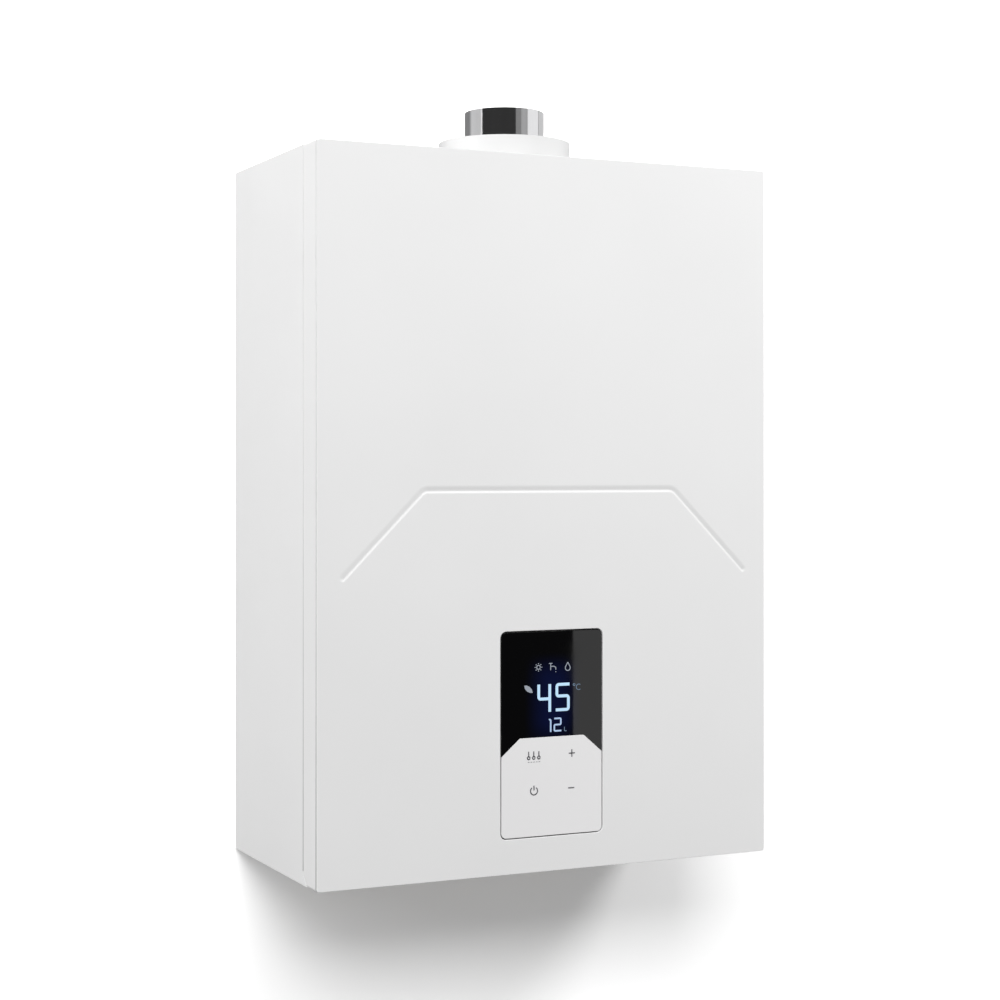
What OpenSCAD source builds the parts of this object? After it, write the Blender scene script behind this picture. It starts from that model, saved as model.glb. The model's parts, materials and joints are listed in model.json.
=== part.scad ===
/* [Casing] */
// Width of the casing
casing_w = 370; // [360:1:420]
// Height of the casing
casing_h = 530; // [528:1:640]
// Depth of the casing from the wall to the front face
casing_d = 185; // [184:1:220]
// Thickness of the casing sheet
sheet = 1.2; // [0.8:0.1:1.6]
// Distance between the two columns of wall fixing holes
wall_dx = 300; // [280:1:320]
// Distance between the two rows of wall fixing holes
wall_dz = 480; // [440:1:490]
// Radius of a wall fixing hole
wall_hole_r = 4.5; // [3:0.1:6]

/* [Front cover] */
// Depth of the removable front cover
cover_d = 28.2; // [26:0.2:32]
// Thickness of the front sheet
face_t = 1.2; // [0.8:0.1:1.4]
// Thickness of the front sheet at its folded edge
hem_t = 1.6; // [1.5:0.1:2.4]
// Width of the folded edge
hem_w = 14; // [8:1:20]
// Thickness of the cover frame's sheet
frame_t = 1; // [0.8:0.1:1.6]
// Shadow line between the front sheet and the cover frame
reveal = 0.8; // [0.4:0.1:1.2]
// Gap between the cover and the rear casing
seam = 0.8; // [0.4:0.1:1.6]
// Radius of the casing's long corners
edge_r = 2; // [1:0.5:4]
// Size of the slanted corner where the cover meets the rear casing at the bottom
corner_cut = 8; // [4:1:14]
// Thickness of the foam seal between cover and casing
seal_t = 2.9; // [2:0.1:5]
// Width of the foam seal
seal_w = 10; // [6:1:14]

/* [Pressed groove] */
// Height of the groove's level run above the casing's middle
groove_z = 17; // [-20:1:60]
// Half length of the level run, to the bends
groove_half = 103; // [80:1:120]
// Reach of the slanted runs from the casing's middle
groove_reach = 165; // [140:1:170]
// Width of the groove at the surface
groove_w = 4.4; // [3:0.2:6]
// Width of the groove's floor
groove_floor = 1.6; // [1:0.2:2.4]
// Depth of the groove
groove_deep = 1.2; // [0.6:0.1:2]
// Radius of the groove's bends
groove_bend = 9; // [6:1:20]

/* [Control panel] */
// Width of the control panel
panel_w = 83; // [70:1:100]
// Height of the control panel
panel_h = 151; // [130:1:180]
// Height of the panel's middle above the casing's bottom
panel_up = 102; // [95:1:120]
// Corner radius of the panel
panel_r = 4; // [2:0.5:8]
// Clearance round the panel in the cover's window
panel_gap = 0.7; // [0.4:0.1:1.5]
// Thickness of the glass and of the key plate
lens_t = 2; // [1.5:0.1:3]
// Distance from the panel's middle down to the key plate's top edge
key_drop = 2.6; // [0:0.2:10]
// Half width of the key plate's top edge
key_half = 26.5; // [20:0.5:34]
// Height of the key plate's slanted corners
key_chamfer = 13; // [6:1:20]
// Depth of the housing behind the glass
tray_d = 19; // [17:1:21]
// Wall of the housing behind the glass
tray_t = 1.8; // [1.2:0.1:2.4]

/* [Flue] */
// Distance from the front face to the flue's axis
flue_in = 83; // [81:1:87]
// Outer radius of the air collar
collar_r = 51; // [49:0.5:52]
// Wall of the air collar
collar_t = 0.8; // [0.6:0.1:1.5]
// Height of the collar above the casing
collar_up = 20; // [12:1:40]
// Inner radius of the exhaust ring
exhaust_r = 30.2; // [30:0.1:32]
// Wall of the exhaust ring
exhaust_t = 0.6; // [0.5:0.1:1.2]
// Height of the exhaust ring above the casing
exhaust_up = 44; // [30:1:60]

/* [Fan] */
// Height of the fan's axis above the casing's middle
fan_z = 170; // [168:1:172]
// Outer radius of the impeller
wheel_r = 50; // [44:1:51]
// Inner radius of the blade ring
wheel_inner_r = 40; // [34:0.5:41]
// Width of the impeller
wheel_w = 27; // [20:1:28]
// Number of blades
blade_count = 36; // [18:1:40]
// Thickness of a blade
blade_t = 0.8; // [0.6:0.1:1.2]
// Radius of a blade's curve
blade_bend = 8; // [7:0.5:10]
// Radius where the scroll starts
scroll_start = 54; // [53:0.5:56]
// Radius where the scroll meets the outlet
scroll_end = 68; // [64:1:70]
// Inner width of the scroll
scroll_w = 33; // [31:1:35]
// Thickness of the scroll's sheet
scroll_t = 1; // [0.8:0.1:1.5]
// Radius of the fan shaft
shaft_r = 3; // [2.5:0.1:4]
// Running clearance of the shaft in its bushes
shaft_play = 0.05; // [0.02:0.01:0.1]
// Radius of the motor's body
motor_r = 31; // [26:1:34]
// Length of the motor's body
motor_l = 30; // [22:1:32]

/* [Heat exchanger] */
// Width of the copper cell
cell_w = 256; // [250:1:262]
// Depth of the copper cell
cell_d = 102; // [100:1:104]
// Distance from the front face to the front of the cell
cell_in = 43; // [41:1:44]
// Bottom of the cell, below the casing's middle
cell_low = 112; // [108:1:116]
// Top of the cell, above the casing's middle
cell_top = 86; // [82:1:90]
// Thickness of the cell's sheet
cell_t = 1; // [0.8:0.1:1.6]
// Width of the flanges on the cell, the burner box and the hood
flange_w = 8; // [6:1:10]
// Radius of the water tubes through the fins
tube_r = 7; // [5:0.5:8]
// Distance between two water tubes
tube_pitch = 20; // [18:1:21]
// Number of water tubes
tube_count = 5; // [3:2:5]
// Height of the water tubes above the casing's middle
tube_z = 52; // [48:1:56]
// Height of a fin
fin_h = 54; // [40:1:58]
// Thickness of a fin
fin_t = 0.6; // [0.4:0.1:1]
// Distance between two fins
fin_pitch = 5; // [4:0.5:8]
// Radius of the tube wound round the cell
coil_r = 6; // [5:0.5:6.5]
// Distance between two turns of the coil
coil_pitch = 30; // [26:1:32]
// Height of the lowest turn, below the casing's middle
coil_low = 85; // [80:1:88]
// Bend radius of the pipes
pipe_bend = 12; // [10:0.5:13]

/* [Burner] */
// Width of the burner box
burner_w = 236; // [232:1:240]
// Height of the burner box
burner_h = 63; // [58:1:64]
// Number of burner blades
burner_count = 11; // [7:2:11]
// Distance between two burner blades
burner_pitch = 20; // [16:1:21]
// Thickness of a burner blade's body
burner_t = 5; // [4:0.5:7]
// Width of the gas manifold's square section
manifold_s = 13; // [12:0.5:14]

/* [Gas valve] */
// Width of the valve body
valve_w = 76; // [70:1:80]
// Depth of the valve body
valve_d = 52; // [48:1:56]
// Height of the valve body
valve_h = 48; // [44:1:50]
// Radius of a valve coil
coil_body_r = 16; // [14:0.5:18]
// Length of a valve coil
coil_body_l = 34; // [28:1:38]
// Radius of a valve plunger
plunger_r = 5; // [4:0.5:6]
// Travel of a valve plunger
plunger_travel = 3; // [2:0.5:4]
// Clearance round a plunger in its coil
plunger_play = 0.3; // [0.2:0.05:0.4]

/* [Connections] */
// Distance from the middle to the cold and hot connections
conn_x = 95; // [90:1:100]
// Radius of the half inch pipe thread
thread_r = 10.48; // [9:0.01:13.5]
// Length of thread below the locknut
thread_l = 16; // [12:1:18]
// Height of a locknut
locknut_h = 6; // [4:0.5:7]
// Outer radius of the flow sensor's housing
sensor_r = 15; // [14:0.5:17]
// Bore radius of the flow sensor
sensor_bore = 9.5; // [9:0.5:10]
// Height of the flow turbine
turbine_h = 12; // [8:1:14]
// Clearance between the turbine's tips and its housing
turbine_gap = 0.6; // [0.4:0.1:1]
// Radius of the drain plug's grip
plug_r = 9; // [7:0.5:10]

/* [Hidden] */
$fn = 64;
lap = 0.5;
fit = 0.2;
gap = 0.3;
front = -casing_d;
half_w = casing_w / 2;
half_h = casing_h / 2;

// places along the depth, from the front face back to the wall
y_hem = front + hem_t;
y_return = y_hem + reveal;
y_cover_end = front + cover_d;
y_case = y_cover_end + seam;
y_seal_flange = front + 14;
y_seal = y_seal_flange + frame_t;
y_frame = y_seal + seal_t + gap;

// inner faces of the casing
in_w = half_w - sheet;
tab_drop = frame_t + gap;
z_floor = -half_h + tab_drop + sheet;
z_floor_low = -half_h + tab_drop;
z_roof = half_h - sheet;

// the cell, its flanges and the burner below it
y_cell_front = front + cell_in;
y_cell_back = y_cell_front + cell_d;
cell_y = y_cell_front + cell_d / 2;
z_cell_low = -cell_low;
z_burner_top = z_cell_low;
z_burner_low = z_burner_top - burner_h;
coil_gap = 0.1;
coil_x = cell_w / 2 + coil_gap + coil_r;
coil_front = y_cell_front - coil_gap - coil_r;
coil_back = y_cell_back + coil_gap + coil_r;
z_coil = [for (i = [0 : 3]) -coil_low + i * coil_pitch];
function tube_y(i) = cell_y + (i - (tube_count - 1) / 2) * tube_pitch;
tube_end = cell_w / 2 + 8;
conn_y = tube_y(tube_count - 1);

// the fan and the flue above it
flue_y = front + flue_in;
tongue = 80;
fan_x = -(scroll_end + scroll_start * cos(tongue)) / 2;
y_scroll_back = flue_y + scroll_w / 2 + scroll_t;
y_scroll_front = flue_y - scroll_w / 2 - scroll_t;
z_scroll_top = fan_z + scroll_end;
adapter_h = 14;
adapter_plate = 1.2;
z_ring = z_scroll_top + adapter_h + adapter_plate;
outlet_w = scroll_end - scroll_start * cos(tongue);
bush_r = 8;
y_motor = y_scroll_front - 8;
hood_skirt = 12;
z_hood = cell_top + hood_skirt;

// the gas valve and the water side, seated on the bottom plate
valve_z = z_floor + 18;
valve_mid = valve_z + valve_h / 2;
manifold_gap = 3;
y_manifold = y_cell_front + 2 - manifold_gap - manifold_s;
z_manifold = z_burner_low + 17;
inlet_block_h = 20;
sensor_low = z_floor + inlet_block_h;
sensor_top = z_floor + 50;
z_run = z_burner_low - coil_r - 5;
axle_r = 1.2;
plug_x = conn_x + 27;

// the control panel
panel_z = -half_h + panel_up;
y_tray = front + lens_t;
y_tray_back = y_tray + tray_d;
rim_d = 6;
ear_w = 6;
tray_flange = 1.5;
y_tray_flange = front + rim_d + gap + seal_t;

screw_r = 2;
head_h = 2.2;
slot_play = 0.3;

function unit(v) = v / norm(v);
function side_of(d) = abs(d.z) < 0.9 ? unit(cross(d, [0, 0, 1])) : unit(cross(d, [1, 0, 0]));

// a block between two values on each axis
module block(x, y, z)
    translate([x[0], y[0], z[0]]) cube([x[1] - x[0], y[1] - y[0], z[1] - z[0]]);

module along_x(x, y, z, r) translate([x[0], y, z]) rotate([0, 90, 0]) cylinder(r = r, h = x[1] - x[0]);
module along_y(x, y, z, r) translate([x, y[1], z]) rotate([90, 0, 0]) cylinder(r = r, h = y[1] - y[0]);
module along_z(x, y, z, r) translate([x, y, z[0]]) cylinder(r = r, h = z[1] - z[0]);

// a flat outline in x and z, made solid between two depths
module upright(y) translate([0, y[1], 0]) rotate([90, 0, 0]) linear_extrude(y[1] - y[0]) children();

// a flat outline in y and z, made solid between two widths
module sideways(x) translate([x[0], 0, 0]) rotate([90, 0, 90]) linear_extrude(x[1] - x[0]) children();

// a flat outline in x and y, made solid between two heights
module level(z) translate([0, 0, z[0]]) linear_extrude(z[1] - z[0]) children();

module rounded(w, h, r) {
    square([w - 2 * r, h], center = true);
    square([w, h - 2 * r], center = true);
    for (sx = [-1, 1], sy = [-1, 1]) translate([sx * (w / 2 - r), sy * (h / 2 - r)]) circle(r);
}

module in_frame(x, y, z, p)
    multmatrix([[x.x, y.x, z.x, p.x], [x.y, y.y, z.y, p.y], [x.z, y.z, z.z, p.z], [0, 0, 0, 1]])
        children();

module run(a, b, r) {
    d = unit(b - a);
    x = side_of(d);
    in_frame(x, cross(d, x), d, a) cylinder(r = r, h = norm(b - a));
}

module bend(p, a, b, r, bend_r) {
    turn = acos(a * b);
    n = unit(b - a * (a * b));
    start = p - a * bend_r * tan(turn / 2);
    in_frame(-n, a, cross(-n, a), start + n * bend_r)
        rotate_extrude(angle = turn) translate([bend_r, 0]) circle(r);
}

// a round tube along a path, with a bend at each inner point
module bent_tube(path, r, bend_r) {
    last = len(path) - 1;
    dir = [for (i = [0 : last - 1]) unit(path[i + 1] - path[i])];
    cut = [for (i = [0 : last]) i == 0 || i == last ? 0 : bend_r * tan(acos(dir[i - 1] * dir[i]) / 2)];
    for (i = [0 : last - 1]) run(path[i] + dir[i] * cut[i], path[i + 1] - dir[i] * cut[i + 1], r);
    for (i = [1 : last - 1]) bend(path[i], dir[i - 1], dir[i], r, bend_r);
}

// a pan head screw at the origin, its head above and its shank below
module screw(length, r = screw_r) {
    difference() {
        cylinder(r = 2 * r, h = head_h);
        for (a = [0, 90]) rotate(a) translate([-1.3 * r, -0.4, head_h - 0.9]) cube([2.6 * r, 0.8, 2]);
    }
    translate([0, 0, -length]) cylinder(r = r, h = length + lap);
}

module hex(across, h) cylinder(r = across / 2 / cos(30), h = h, $fn = 6);

// rear casing: back and sides folded from one sheet
bead_w = 9;
bead_d = 2;
bead_x = [-60, 60];
bead_l = 300;

module side_outline()
    polygon([[0, -half_h], [y_case - corner_cut, -half_h], [y_case, -half_h + corner_cut],
        [y_case, half_h], [0, half_h]]);

module rear_casing() color("white") {
    for (s = [-1, 1])
        sideways(s < 0 ? [-half_w, -in_w] : [in_w, half_w]) side_outline();
    difference() {
        union() {
            block([-in_w - lap, in_w + lap], [-sheet, 0], [-half_h, half_h]);
            for (x = bead_x) translate([x, 0, 0]) upright([-sheet - bead_d, 0])
                rounded(bead_w + 2 * sheet, bead_l, bead_w / 2 + sheet - 0.1);
        }
        for (x = bead_x) translate([x, 0, 0]) upright([-bead_d, lap])
            rounded(bead_w, bead_l - 2 * sheet, bead_w / 2 - 0.1);
        for (sx = [-1, 1], sz = [-1, 1])
            along_y(sx * wall_dx / 2, [-sheet - lap, lap], sz * wall_dz / 2, wall_hole_r);
    }
}

// folded edges of the roof and the bottom plate
fold_h = 12;
fold_in = 14;

module top_plate() color("white") difference() {
    union() {
        block([-in_w + fit, in_w - fit], [y_case, -sheet - fit], [z_roof, half_h]);
        for (s = [-1, 1]) block(s < 0 ? [-in_w + fit, -in_w + fit + sheet] : [in_w - fit - sheet, in_w - fit],
            [y_case + fold_in, -sheet - fit], [z_roof - fold_h, half_h]);
    }
    along_z(0, flue_y, [z_roof - lap, half_h + lap], collar_r - collar_t - 1);
    for (x = [-1, 1], y = [-1, 1])
        along_z(x * collar_screw_x, flue_y + y * collar_screw_y, [z_roof - lap, half_h + lap], screw_r);
}

cover_screw_in = 35;
cover_screw_x = half_w - cover_screw_in;
tab_w = 26;
tab_l = 14;
cover_screw_y = y_cover_end + tab_l / 2;
gland_r = 8;
gland_x = -half_w + 35;
gland_y = front + 85;

module bottom_plate() color("white") difference() {
    union() {
        block([-in_w + fit, in_w - fit], [y_case, -sheet - fit], [z_floor_low, z_floor]);
        for (s = [-1, 1]) block(s < 0 ? [-in_w + fit, -in_w + fit + sheet] : [in_w - fit - sheet, in_w - fit],
            [y_case + fold_in, -sheet - fit], [z_floor_low, z_floor + fold_h]);
    }
    for (x = [-conn_x, 0, conn_x])
        along_z(x, conn_y, [z_floor_low - lap, z_floor + lap], thread_r + fit);
    along_z(plug_x, conn_y, [z_floor_low - lap, z_floor + lap], plug_stem_r + fit);
    along_z(gland_x, gland_y, [z_floor_low - lap, z_floor + lap], gland_r);
    for (s = [-1, 1])
        along_z(s * cover_screw_x, cover_screw_y, [z_floor_low - lap, z_floor + lap], screw_r);
}

// frame inside the casing's mouth that the cover and its seal close on
lip_d = 22;
lip_w = in_w - fit;
lip_top = z_roof - fit;
lip_low = z_floor + fit;
lip_mid = (lip_top + lip_low) / 2;

module lip_ring(y, band) upright(y) translate([0, lip_mid]) difference() {
    square([2 * lip_w, lip_top - lip_low], center = true);
    square([2 * (lip_w - band), lip_top - lip_low - 2 * band], center = true);
}

module seal_frame() color("white") {
    lip_ring([y_frame, y_frame + lip_d], sheet);
    lip_ring([y_frame, y_frame + sheet], seal_w + 2);
}

// rails that carry the cell and the burner box off the back
rail_h = 20;
rail_x = 110;

module rail(z) difference() {
    block([-rail_x, rail_x], [y_cell_back, -sheet], z);
    block([-rail_x - lap, rail_x + lap], [y_cell_back + sheet, -2 * sheet], [z[0] + sheet, z[1] + lap]);
    for (x = bead_x) block([x - bead_w, x + bead_w], [-sheet - bead_d - 1, 0], [z[0] - lap, z[1] + lap]);
}

module mounting_rails() color("gainsboro") {
    rail([cell_top - rail_h - 4, cell_top - 4]);
    rail([z_burner_low + 6, z_burner_low + 6 + rail_h]);
}

// front sheet, pressed with a groove and cut for the control panel
groove_level = round(10 * (groove_half - groove_bend * tan(22.5))) / 10;
// the level run is this much narrower and shallower than the bends it ends in
groove_step = 0.01;
groove_slant = round(10 * sqrt(2) * (groove_reach - groove_level - groove_bend * sin(45))) / 10;

module groove_profile(grow, deep) {
    t = groove_w / 2 + grow;
    b = groove_floor / 2 + grow;
    polygon([[-t, -lap], [t, -lap], [t, 0], [b, deep], [-b, deep], [-t, 0]]);
}

module groove_half_profile(grow, deep) {
    t = groove_w / 2 + grow;
    b = groove_floor / 2 + grow;
    polygon([[0, -lap], [t, -lap], [t, 0], [b, deep], [0, deep]]);
}

// one half of the groove: from the level run round its bend, down the slant to a round end
module groove_wing(grow, deep) translate([groove_level, groove_z - groove_bend, 0]) {
    rotate(45) rotate_extrude(angle = 45) translate([groove_bend, 0]) groove_profile(grow, deep);
    rotate(-45) translate([0, groove_bend, 0]) {
        rotate([90, 0, 90]) linear_extrude(groove_slant) groove_profile(grow, deep);
        translate([groove_slant, 0, 0]) rotate_extrude() groove_half_profile(grow, deep);
    }
}

module groove(grow, deep) {
    translate([-groove_level, groove_z, 0]) rotate([90, 0, 90])
        linear_extrude(2 * groove_level) groove_profile(grow - groove_step, deep - groove_step);
    for (s = [0, 1]) mirror([s, 0, 0]) groove_wing(grow, deep);
}

// the groove's own frame has its depth going into the sheet
module into_front() translate([0, front, 0]) rotate([90, 0, 0]) mirror([0, 0, 1]) children();

module panel_place() translate([0, panel_z]) children();

module front_panel() color("white") difference() {
    union() {
        upright([front, front + face_t]) rounded(casing_w, casing_h, edge_r);
        upright([front, y_hem]) difference() {
            rounded(casing_w, casing_h, edge_r);
            square([casing_w - 2 * hem_w, casing_h - 2 * hem_w], center = true);
        }
        intersection() {
            into_front() groove(face_t, groove_deep + face_t);
            block([-half_w, half_w], [front + face_t / 2, 0], [-half_h, half_h]);
        }
        upright([front, front + rim_d]) panel_place()
            rounded(panel_w + 2 * (panel_gap + face_t), panel_h + 2 * (panel_gap + face_t),
                panel_r + panel_gap + face_t);
    }
    into_front() groove(0, groove_deep);
    upright([front - lap, front + rim_d + lap]) panel_place()
        rounded(panel_w + 2 * panel_gap, panel_h + 2 * panel_gap, panel_r + panel_gap);
}

// cover frame: its edge, the joggle under the front sheet and the flange that presses the seal
module cover_band(y, inset, band) upright(y) difference() {
    rounded(casing_w - 2 * inset, casing_h - 2 * inset, edge_r);
    square([casing_w - 2 * (inset + band), casing_h - 2 * (inset + band)], center = true);
}

module cover_frame() color("white") difference() {
    union() {
        cover_band([y_return, y_cover_end], 0, frame_t);
        cover_band([y_return, y_return + frame_t], 0, 6);
        cover_band([y_hem, y_hem + frame_t], 3, hem_w - 4);
        cover_band([y_seal_flange, y_seal], 0, half_w - lip_w + seal_w);
        for (s = [-1, 1]) translate([s * cover_screw_x, 0, 0]) difference() {
            block([-tab_w / 2, tab_w / 2], [y_cover_end - lap, y_cover_end + tab_l],
                [-half_h, -half_h + frame_t]);
            block([-screw_r - slot_play, screw_r + slot_play], [cover_screw_y, y_cover_end + tab_l + lap],
                [-half_h - lap, -half_h + frame_t + lap]);
            along_z(0, cover_screw_y, [-half_h - lap, -half_h + frame_t + lap], screw_r + slot_play);
        }
    }
    for (s = [-1, 1])
        sideways(s < 0 ? [-half_w - lap, -in_w + fit] : [in_w - fit, half_w + lap])
            polygon([[y_cover_end + lap, -half_h - lap], [y_cover_end - corner_cut - lap, -half_h - lap],
                [y_cover_end + lap, -half_h + corner_cut + lap]]);
}

module cover_gasket() color("dimgray") lip_ring([y_seal, y_seal + seal_t], seal_w);

module cover_screws() color("silver") for (s = [-1, 1])
    translate([s * cover_screw_x, cover_screw_y, -half_h - 0.1]) mirror([0, 0, 1])
        screw(z_floor + half_h);

// flue: the air collar on the roof and the exhaust ring inside it
collar_plate_w = 124;
collar_plate_d = 106;
collar_screw_x = 56;
collar_screw_y = 46;
gasket_t = 1;
z_collar = half_h + gasket_t;

module collar_base(z) level(z) translate([0, flue_y]) rounded(collar_plate_w, collar_plate_d, 5);

module collar_holes(z, r) for (x = [-1, 1], y = [-1, 1])
    along_z(x * collar_screw_x, flue_y + y * collar_screw_y, z, r);

module air_collar() color("white") difference() {
    union() {
        collar_base([z_collar, z_collar + sheet]);
        along_z(0, flue_y, [z_collar, half_h + collar_up], collar_r);
    }
    along_z(0, flue_y, [z_collar - lap, half_h + collar_up + lap], collar_r - collar_t);
    collar_holes([z_collar - lap, z_collar + sheet + lap], screw_r + fit);
}

module flue_gaskets() color("dimgray") {
    difference() {
        collar_base([half_h, z_collar]);
        along_z(0, flue_y, [half_h - lap, z_collar + lap], collar_r - collar_t);
        collar_holes([half_h - lap, z_collar + lap], screw_r + fit);
    }
    difference() {
        along_z(0, flue_y, [z_ring, z_ring + gasket_t], ring_flange_r);
        along_z(0, flue_y, [z_ring - lap, z_ring + gasket_t + lap], exhaust_r);
    }
}

module collar_screws() color("silver") for (x = [-1, 1], y = [-1, 1])
    translate([x * collar_screw_x, flue_y + y * collar_screw_y, z_collar + sheet])
        screw(2 * sheet + gasket_t);

ring_flange_r = 37;

module exhaust_ring() color("silver") difference() {
    union() {
        along_z(0, flue_y, [z_ring + gasket_t, half_h + exhaust_up], exhaust_r + exhaust_t);
        along_z(0, flue_y, [z_ring + gasket_t, z_ring + gasket_t + 1], ring_flange_r);
    }
    along_z(0, flue_y, [z_ring, half_h + exhaust_up + lap], exhaust_r);
}

// transition from the scroll's flat outlet to the round ring
module adapter_side(low, high, z) polygon([[flue_y - low, z[0]], [flue_y + low, z[0]],
    [flue_y + high, z[1]], [flue_y - high, z[1]]]);

module flue_adapter() color("silver") difference() {
    union() {
        sideways([-outlet_w / 2 - scroll_t, outlet_w / 2 + scroll_t])
            adapter_side(scroll_w / 2 + scroll_t, exhaust_r + scroll_t,
                [z_scroll_top, z_scroll_top + adapter_h]);
        level([z_scroll_top + adapter_h, z_ring]) translate([0, flue_y])
            rounded(2 * ring_flange_r, 2 * ring_flange_r, 6);
    }
    sideways([-outlet_w / 2, outlet_w / 2])
        adapter_side(scroll_w / 2, exhaust_r, [z_scroll_top, z_scroll_top + adapter_h]);
    along_z(0, flue_y, [z_scroll_top + adapter_h - 0.1, z_ring + lap], exhaust_r);
}

// fan: the scroll grows evenly round the wheel and ends in a straight outlet
scroll_step = 10;
function scroll_radius(a) = scroll_start + (scroll_end - scroll_start) * (a - tongue) / (360 - tongue);

module scroll_outline(grow, reach) polygon(concat(
    [for (a = [tongue : scroll_step : 360])
        [fan_x, fan_z] + (scroll_radius(a) + grow) * [cos(a), sin(a)]],
    [[fan_x + scroll_end + grow, z_scroll_top + reach],
        [fan_x + scroll_start * cos(tongue) - grow, z_scroll_top + reach],
        [fan_x + scroll_start * cos(tongue) - grow, fan_z + scroll_start * sin(tongue) + 2 * grow]]));

inlet_r = 35;

// screw ears on the scroll's rim
ear_r = 5;
ear_angles = [130, 210, 320];
ear_sink = 0.6;
function ear_reach(a) = scroll_radius(a) + scroll_t + ear_r - ear_sink;

module scroll_ears(y, hole) for (a = ear_angles) {
    x = fan_x + ear_reach(a) * cos(a);
    z = fan_z + ear_reach(a) * sin(a);
    difference() {
        along_y(x, y, z, ear_r);
        along_y(x, [y[0] - lap, y[1] + lap], z, hole);
    }
}

ear_l = 5;

module fan_scroll() color("silver") difference() {
    union() {
        upright([y_scroll_front + scroll_t, y_scroll_back]) scroll_outline(scroll_t, 0);
        scroll_ears([y_scroll_front + scroll_t, y_scroll_front + scroll_t + ear_l], screw_r);
    }
    upright([y_scroll_front, y_scroll_back - scroll_t]) scroll_outline(0, lap);
    along_y(fan_x, [y_scroll_front, y_scroll_back + lap], fan_z, inlet_r);
}

module scroll_cover() color("silver") difference() {
    union() {
        upright([y_scroll_front, y_scroll_front + scroll_t]) scroll_outline(scroll_t, 0);
        scroll_ears([y_scroll_front, y_scroll_front + scroll_t], screw_r);
        along_y(fan_x, [y_scroll_front - 3, y_scroll_front + scroll_t], fan_z, bush_r + 2);
    }
    along_y(fan_x, [y_scroll_front - 4, y_scroll_front + 2], fan_z, shaft_r + 1);
}

// wheel: a back plate, a ring at the inlet and forward curved blades between them
wheel_back = y_scroll_front + scroll_t + (scroll_w - wheel_w) / 2;
wheel_front = wheel_back + wheel_w;
wheel_plate = 1.2;
hub_r = 9;
hub_l = 14;

// each blade starts square to the wheel's inner circle and curves into its turn
module blade_outline() intersection() {
    difference() {
        circle(wheel_r - fit);
        circle(wheel_inner_r + fit);
    }
    translate([wheel_inner_r, blade_bend]) difference() {
        circle(blade_bend);
        circle(blade_bend - blade_t);
    }
    translate([wheel_inner_r - 2, -1]) square([wheel_r, blade_bend + 1]);
}

module fan_impeller() color("gainsboro") difference() {
    union() {
        along_y(fan_x, [wheel_back, wheel_back + wheel_plate], fan_z, wheel_r);
        upright([wheel_front - wheel_plate, wheel_front]) translate([fan_x, fan_z]) difference() {
            circle(wheel_r);
            circle(wheel_inner_r);
        }
        for (i = [0 : blade_count - 1]) upright([wheel_back + wheel_plate / 2, wheel_front - wheel_plate / 2])
            translate([fan_x, fan_z]) rotate(i * 360 / blade_count) blade_outline();
        along_y(fan_x, [wheel_back, wheel_back + hub_l], fan_z, hub_r);
    }
    along_y(fan_x, [wheel_back - lap, wheel_front], fan_z, shaft_r);
}

// motor: a stack of plates round the rotor, with a bridge and a bush on each side
motor_face = 2.4;
stack = [y_motor - motor_face - motor_l, y_motor - motor_face];
rotor_r = 12;
rotor_gap = 0.6;
motor_half = 28;
motor_screw_x = 21;
coil_w = 26;
leg_h = 15;
stack_low = fan_z - motor_r - leg_h;
coil_up = 10;
coil_over = 6;

module fan_shaft() color("silver") {
    along_y(fan_x, [stack[0] - motor_face - 6, wheel_back + hub_l + 2], fan_z, shaft_r);
    along_y(fan_x, [stack[0] + 1, stack[1] - 1], fan_z, rotor_r);
}

module fan_motor() color("silver") difference() {
    block([fan_x - motor_half, fan_x + motor_half], stack, [stack_low, fan_z + rotor_r + 8]);
    along_y(fan_x, [stack[0] - lap, stack[1] + lap], fan_z, rotor_r + rotor_gap);
    block([fan_x - coil_w / 2 - 1, fan_x + coil_w / 2 + 1], [stack[0] - lap, stack[1] + lap],
        [stack_low + leg_h, fan_z - rotor_r - 5]);
    for (s = [-1, 1])
        along_y(fan_x + s * motor_screw_x, [stack[0] - lap, stack[1] + lap], fan_z, screw_r + fit / 2);
}

module motor_coil() color("firebrick") difference() {
    block([fan_x - coil_w / 2, fan_x + coil_w / 2], [stack[0] - coil_over, stack[1] + coil_over],
        [stack_low - coil_over, stack_low + leg_h + coil_up]);
    block([fan_x - coil_w, fan_x + coil_w], stack, [stack_low, stack_low + leg_h]);
    block([fan_x - coil_w, fan_x + coil_w], [stack[0] - coil_over - lap, stack[1] + coil_over + lap],
        [stack_low + leg_h + coil_up - 0.01, fan_z]);
}

module bridge(y, boss) difference() {
    union() {
        upright(y) translate([fan_x, fan_z]) {
            square([2 * motor_half, 14], center = true);
            circle(bush_r + 3);
        }
        along_y(fan_x, boss, fan_z, bush_r);
    }
    along_y(fan_x, [y[0] - 4, y[1] + 4], fan_z, shaft_r + shaft_play);
    for (s = [-1, 1])
        along_y(fan_x + s * motor_screw_x, [y[0] - lap, y[1] + lap], fan_z, screw_r + fit / 2);
}

module motor_bridges() color("gainsboro") {
    bridge([stack[1], y_motor], [stack[1], y_motor + 2]);
    bridge([stack[0] - motor_face, stack[0]], [stack[0] - motor_face - 2, stack[0]]);
    for (s = [-1, 1]) difference() {
        along_y(fan_x + s * motor_screw_x, [y_motor, y_scroll_front], fan_z, 2 * screw_r);
        along_y(fan_x + s * motor_screw_x, [y_motor - lap, y_scroll_front + lap], fan_z, screw_r + fit / 2);
    }
}

module screw_y(x, y, z, l) translate([x, y, z]) rotate([90, 0, 0]) screw(l);

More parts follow.
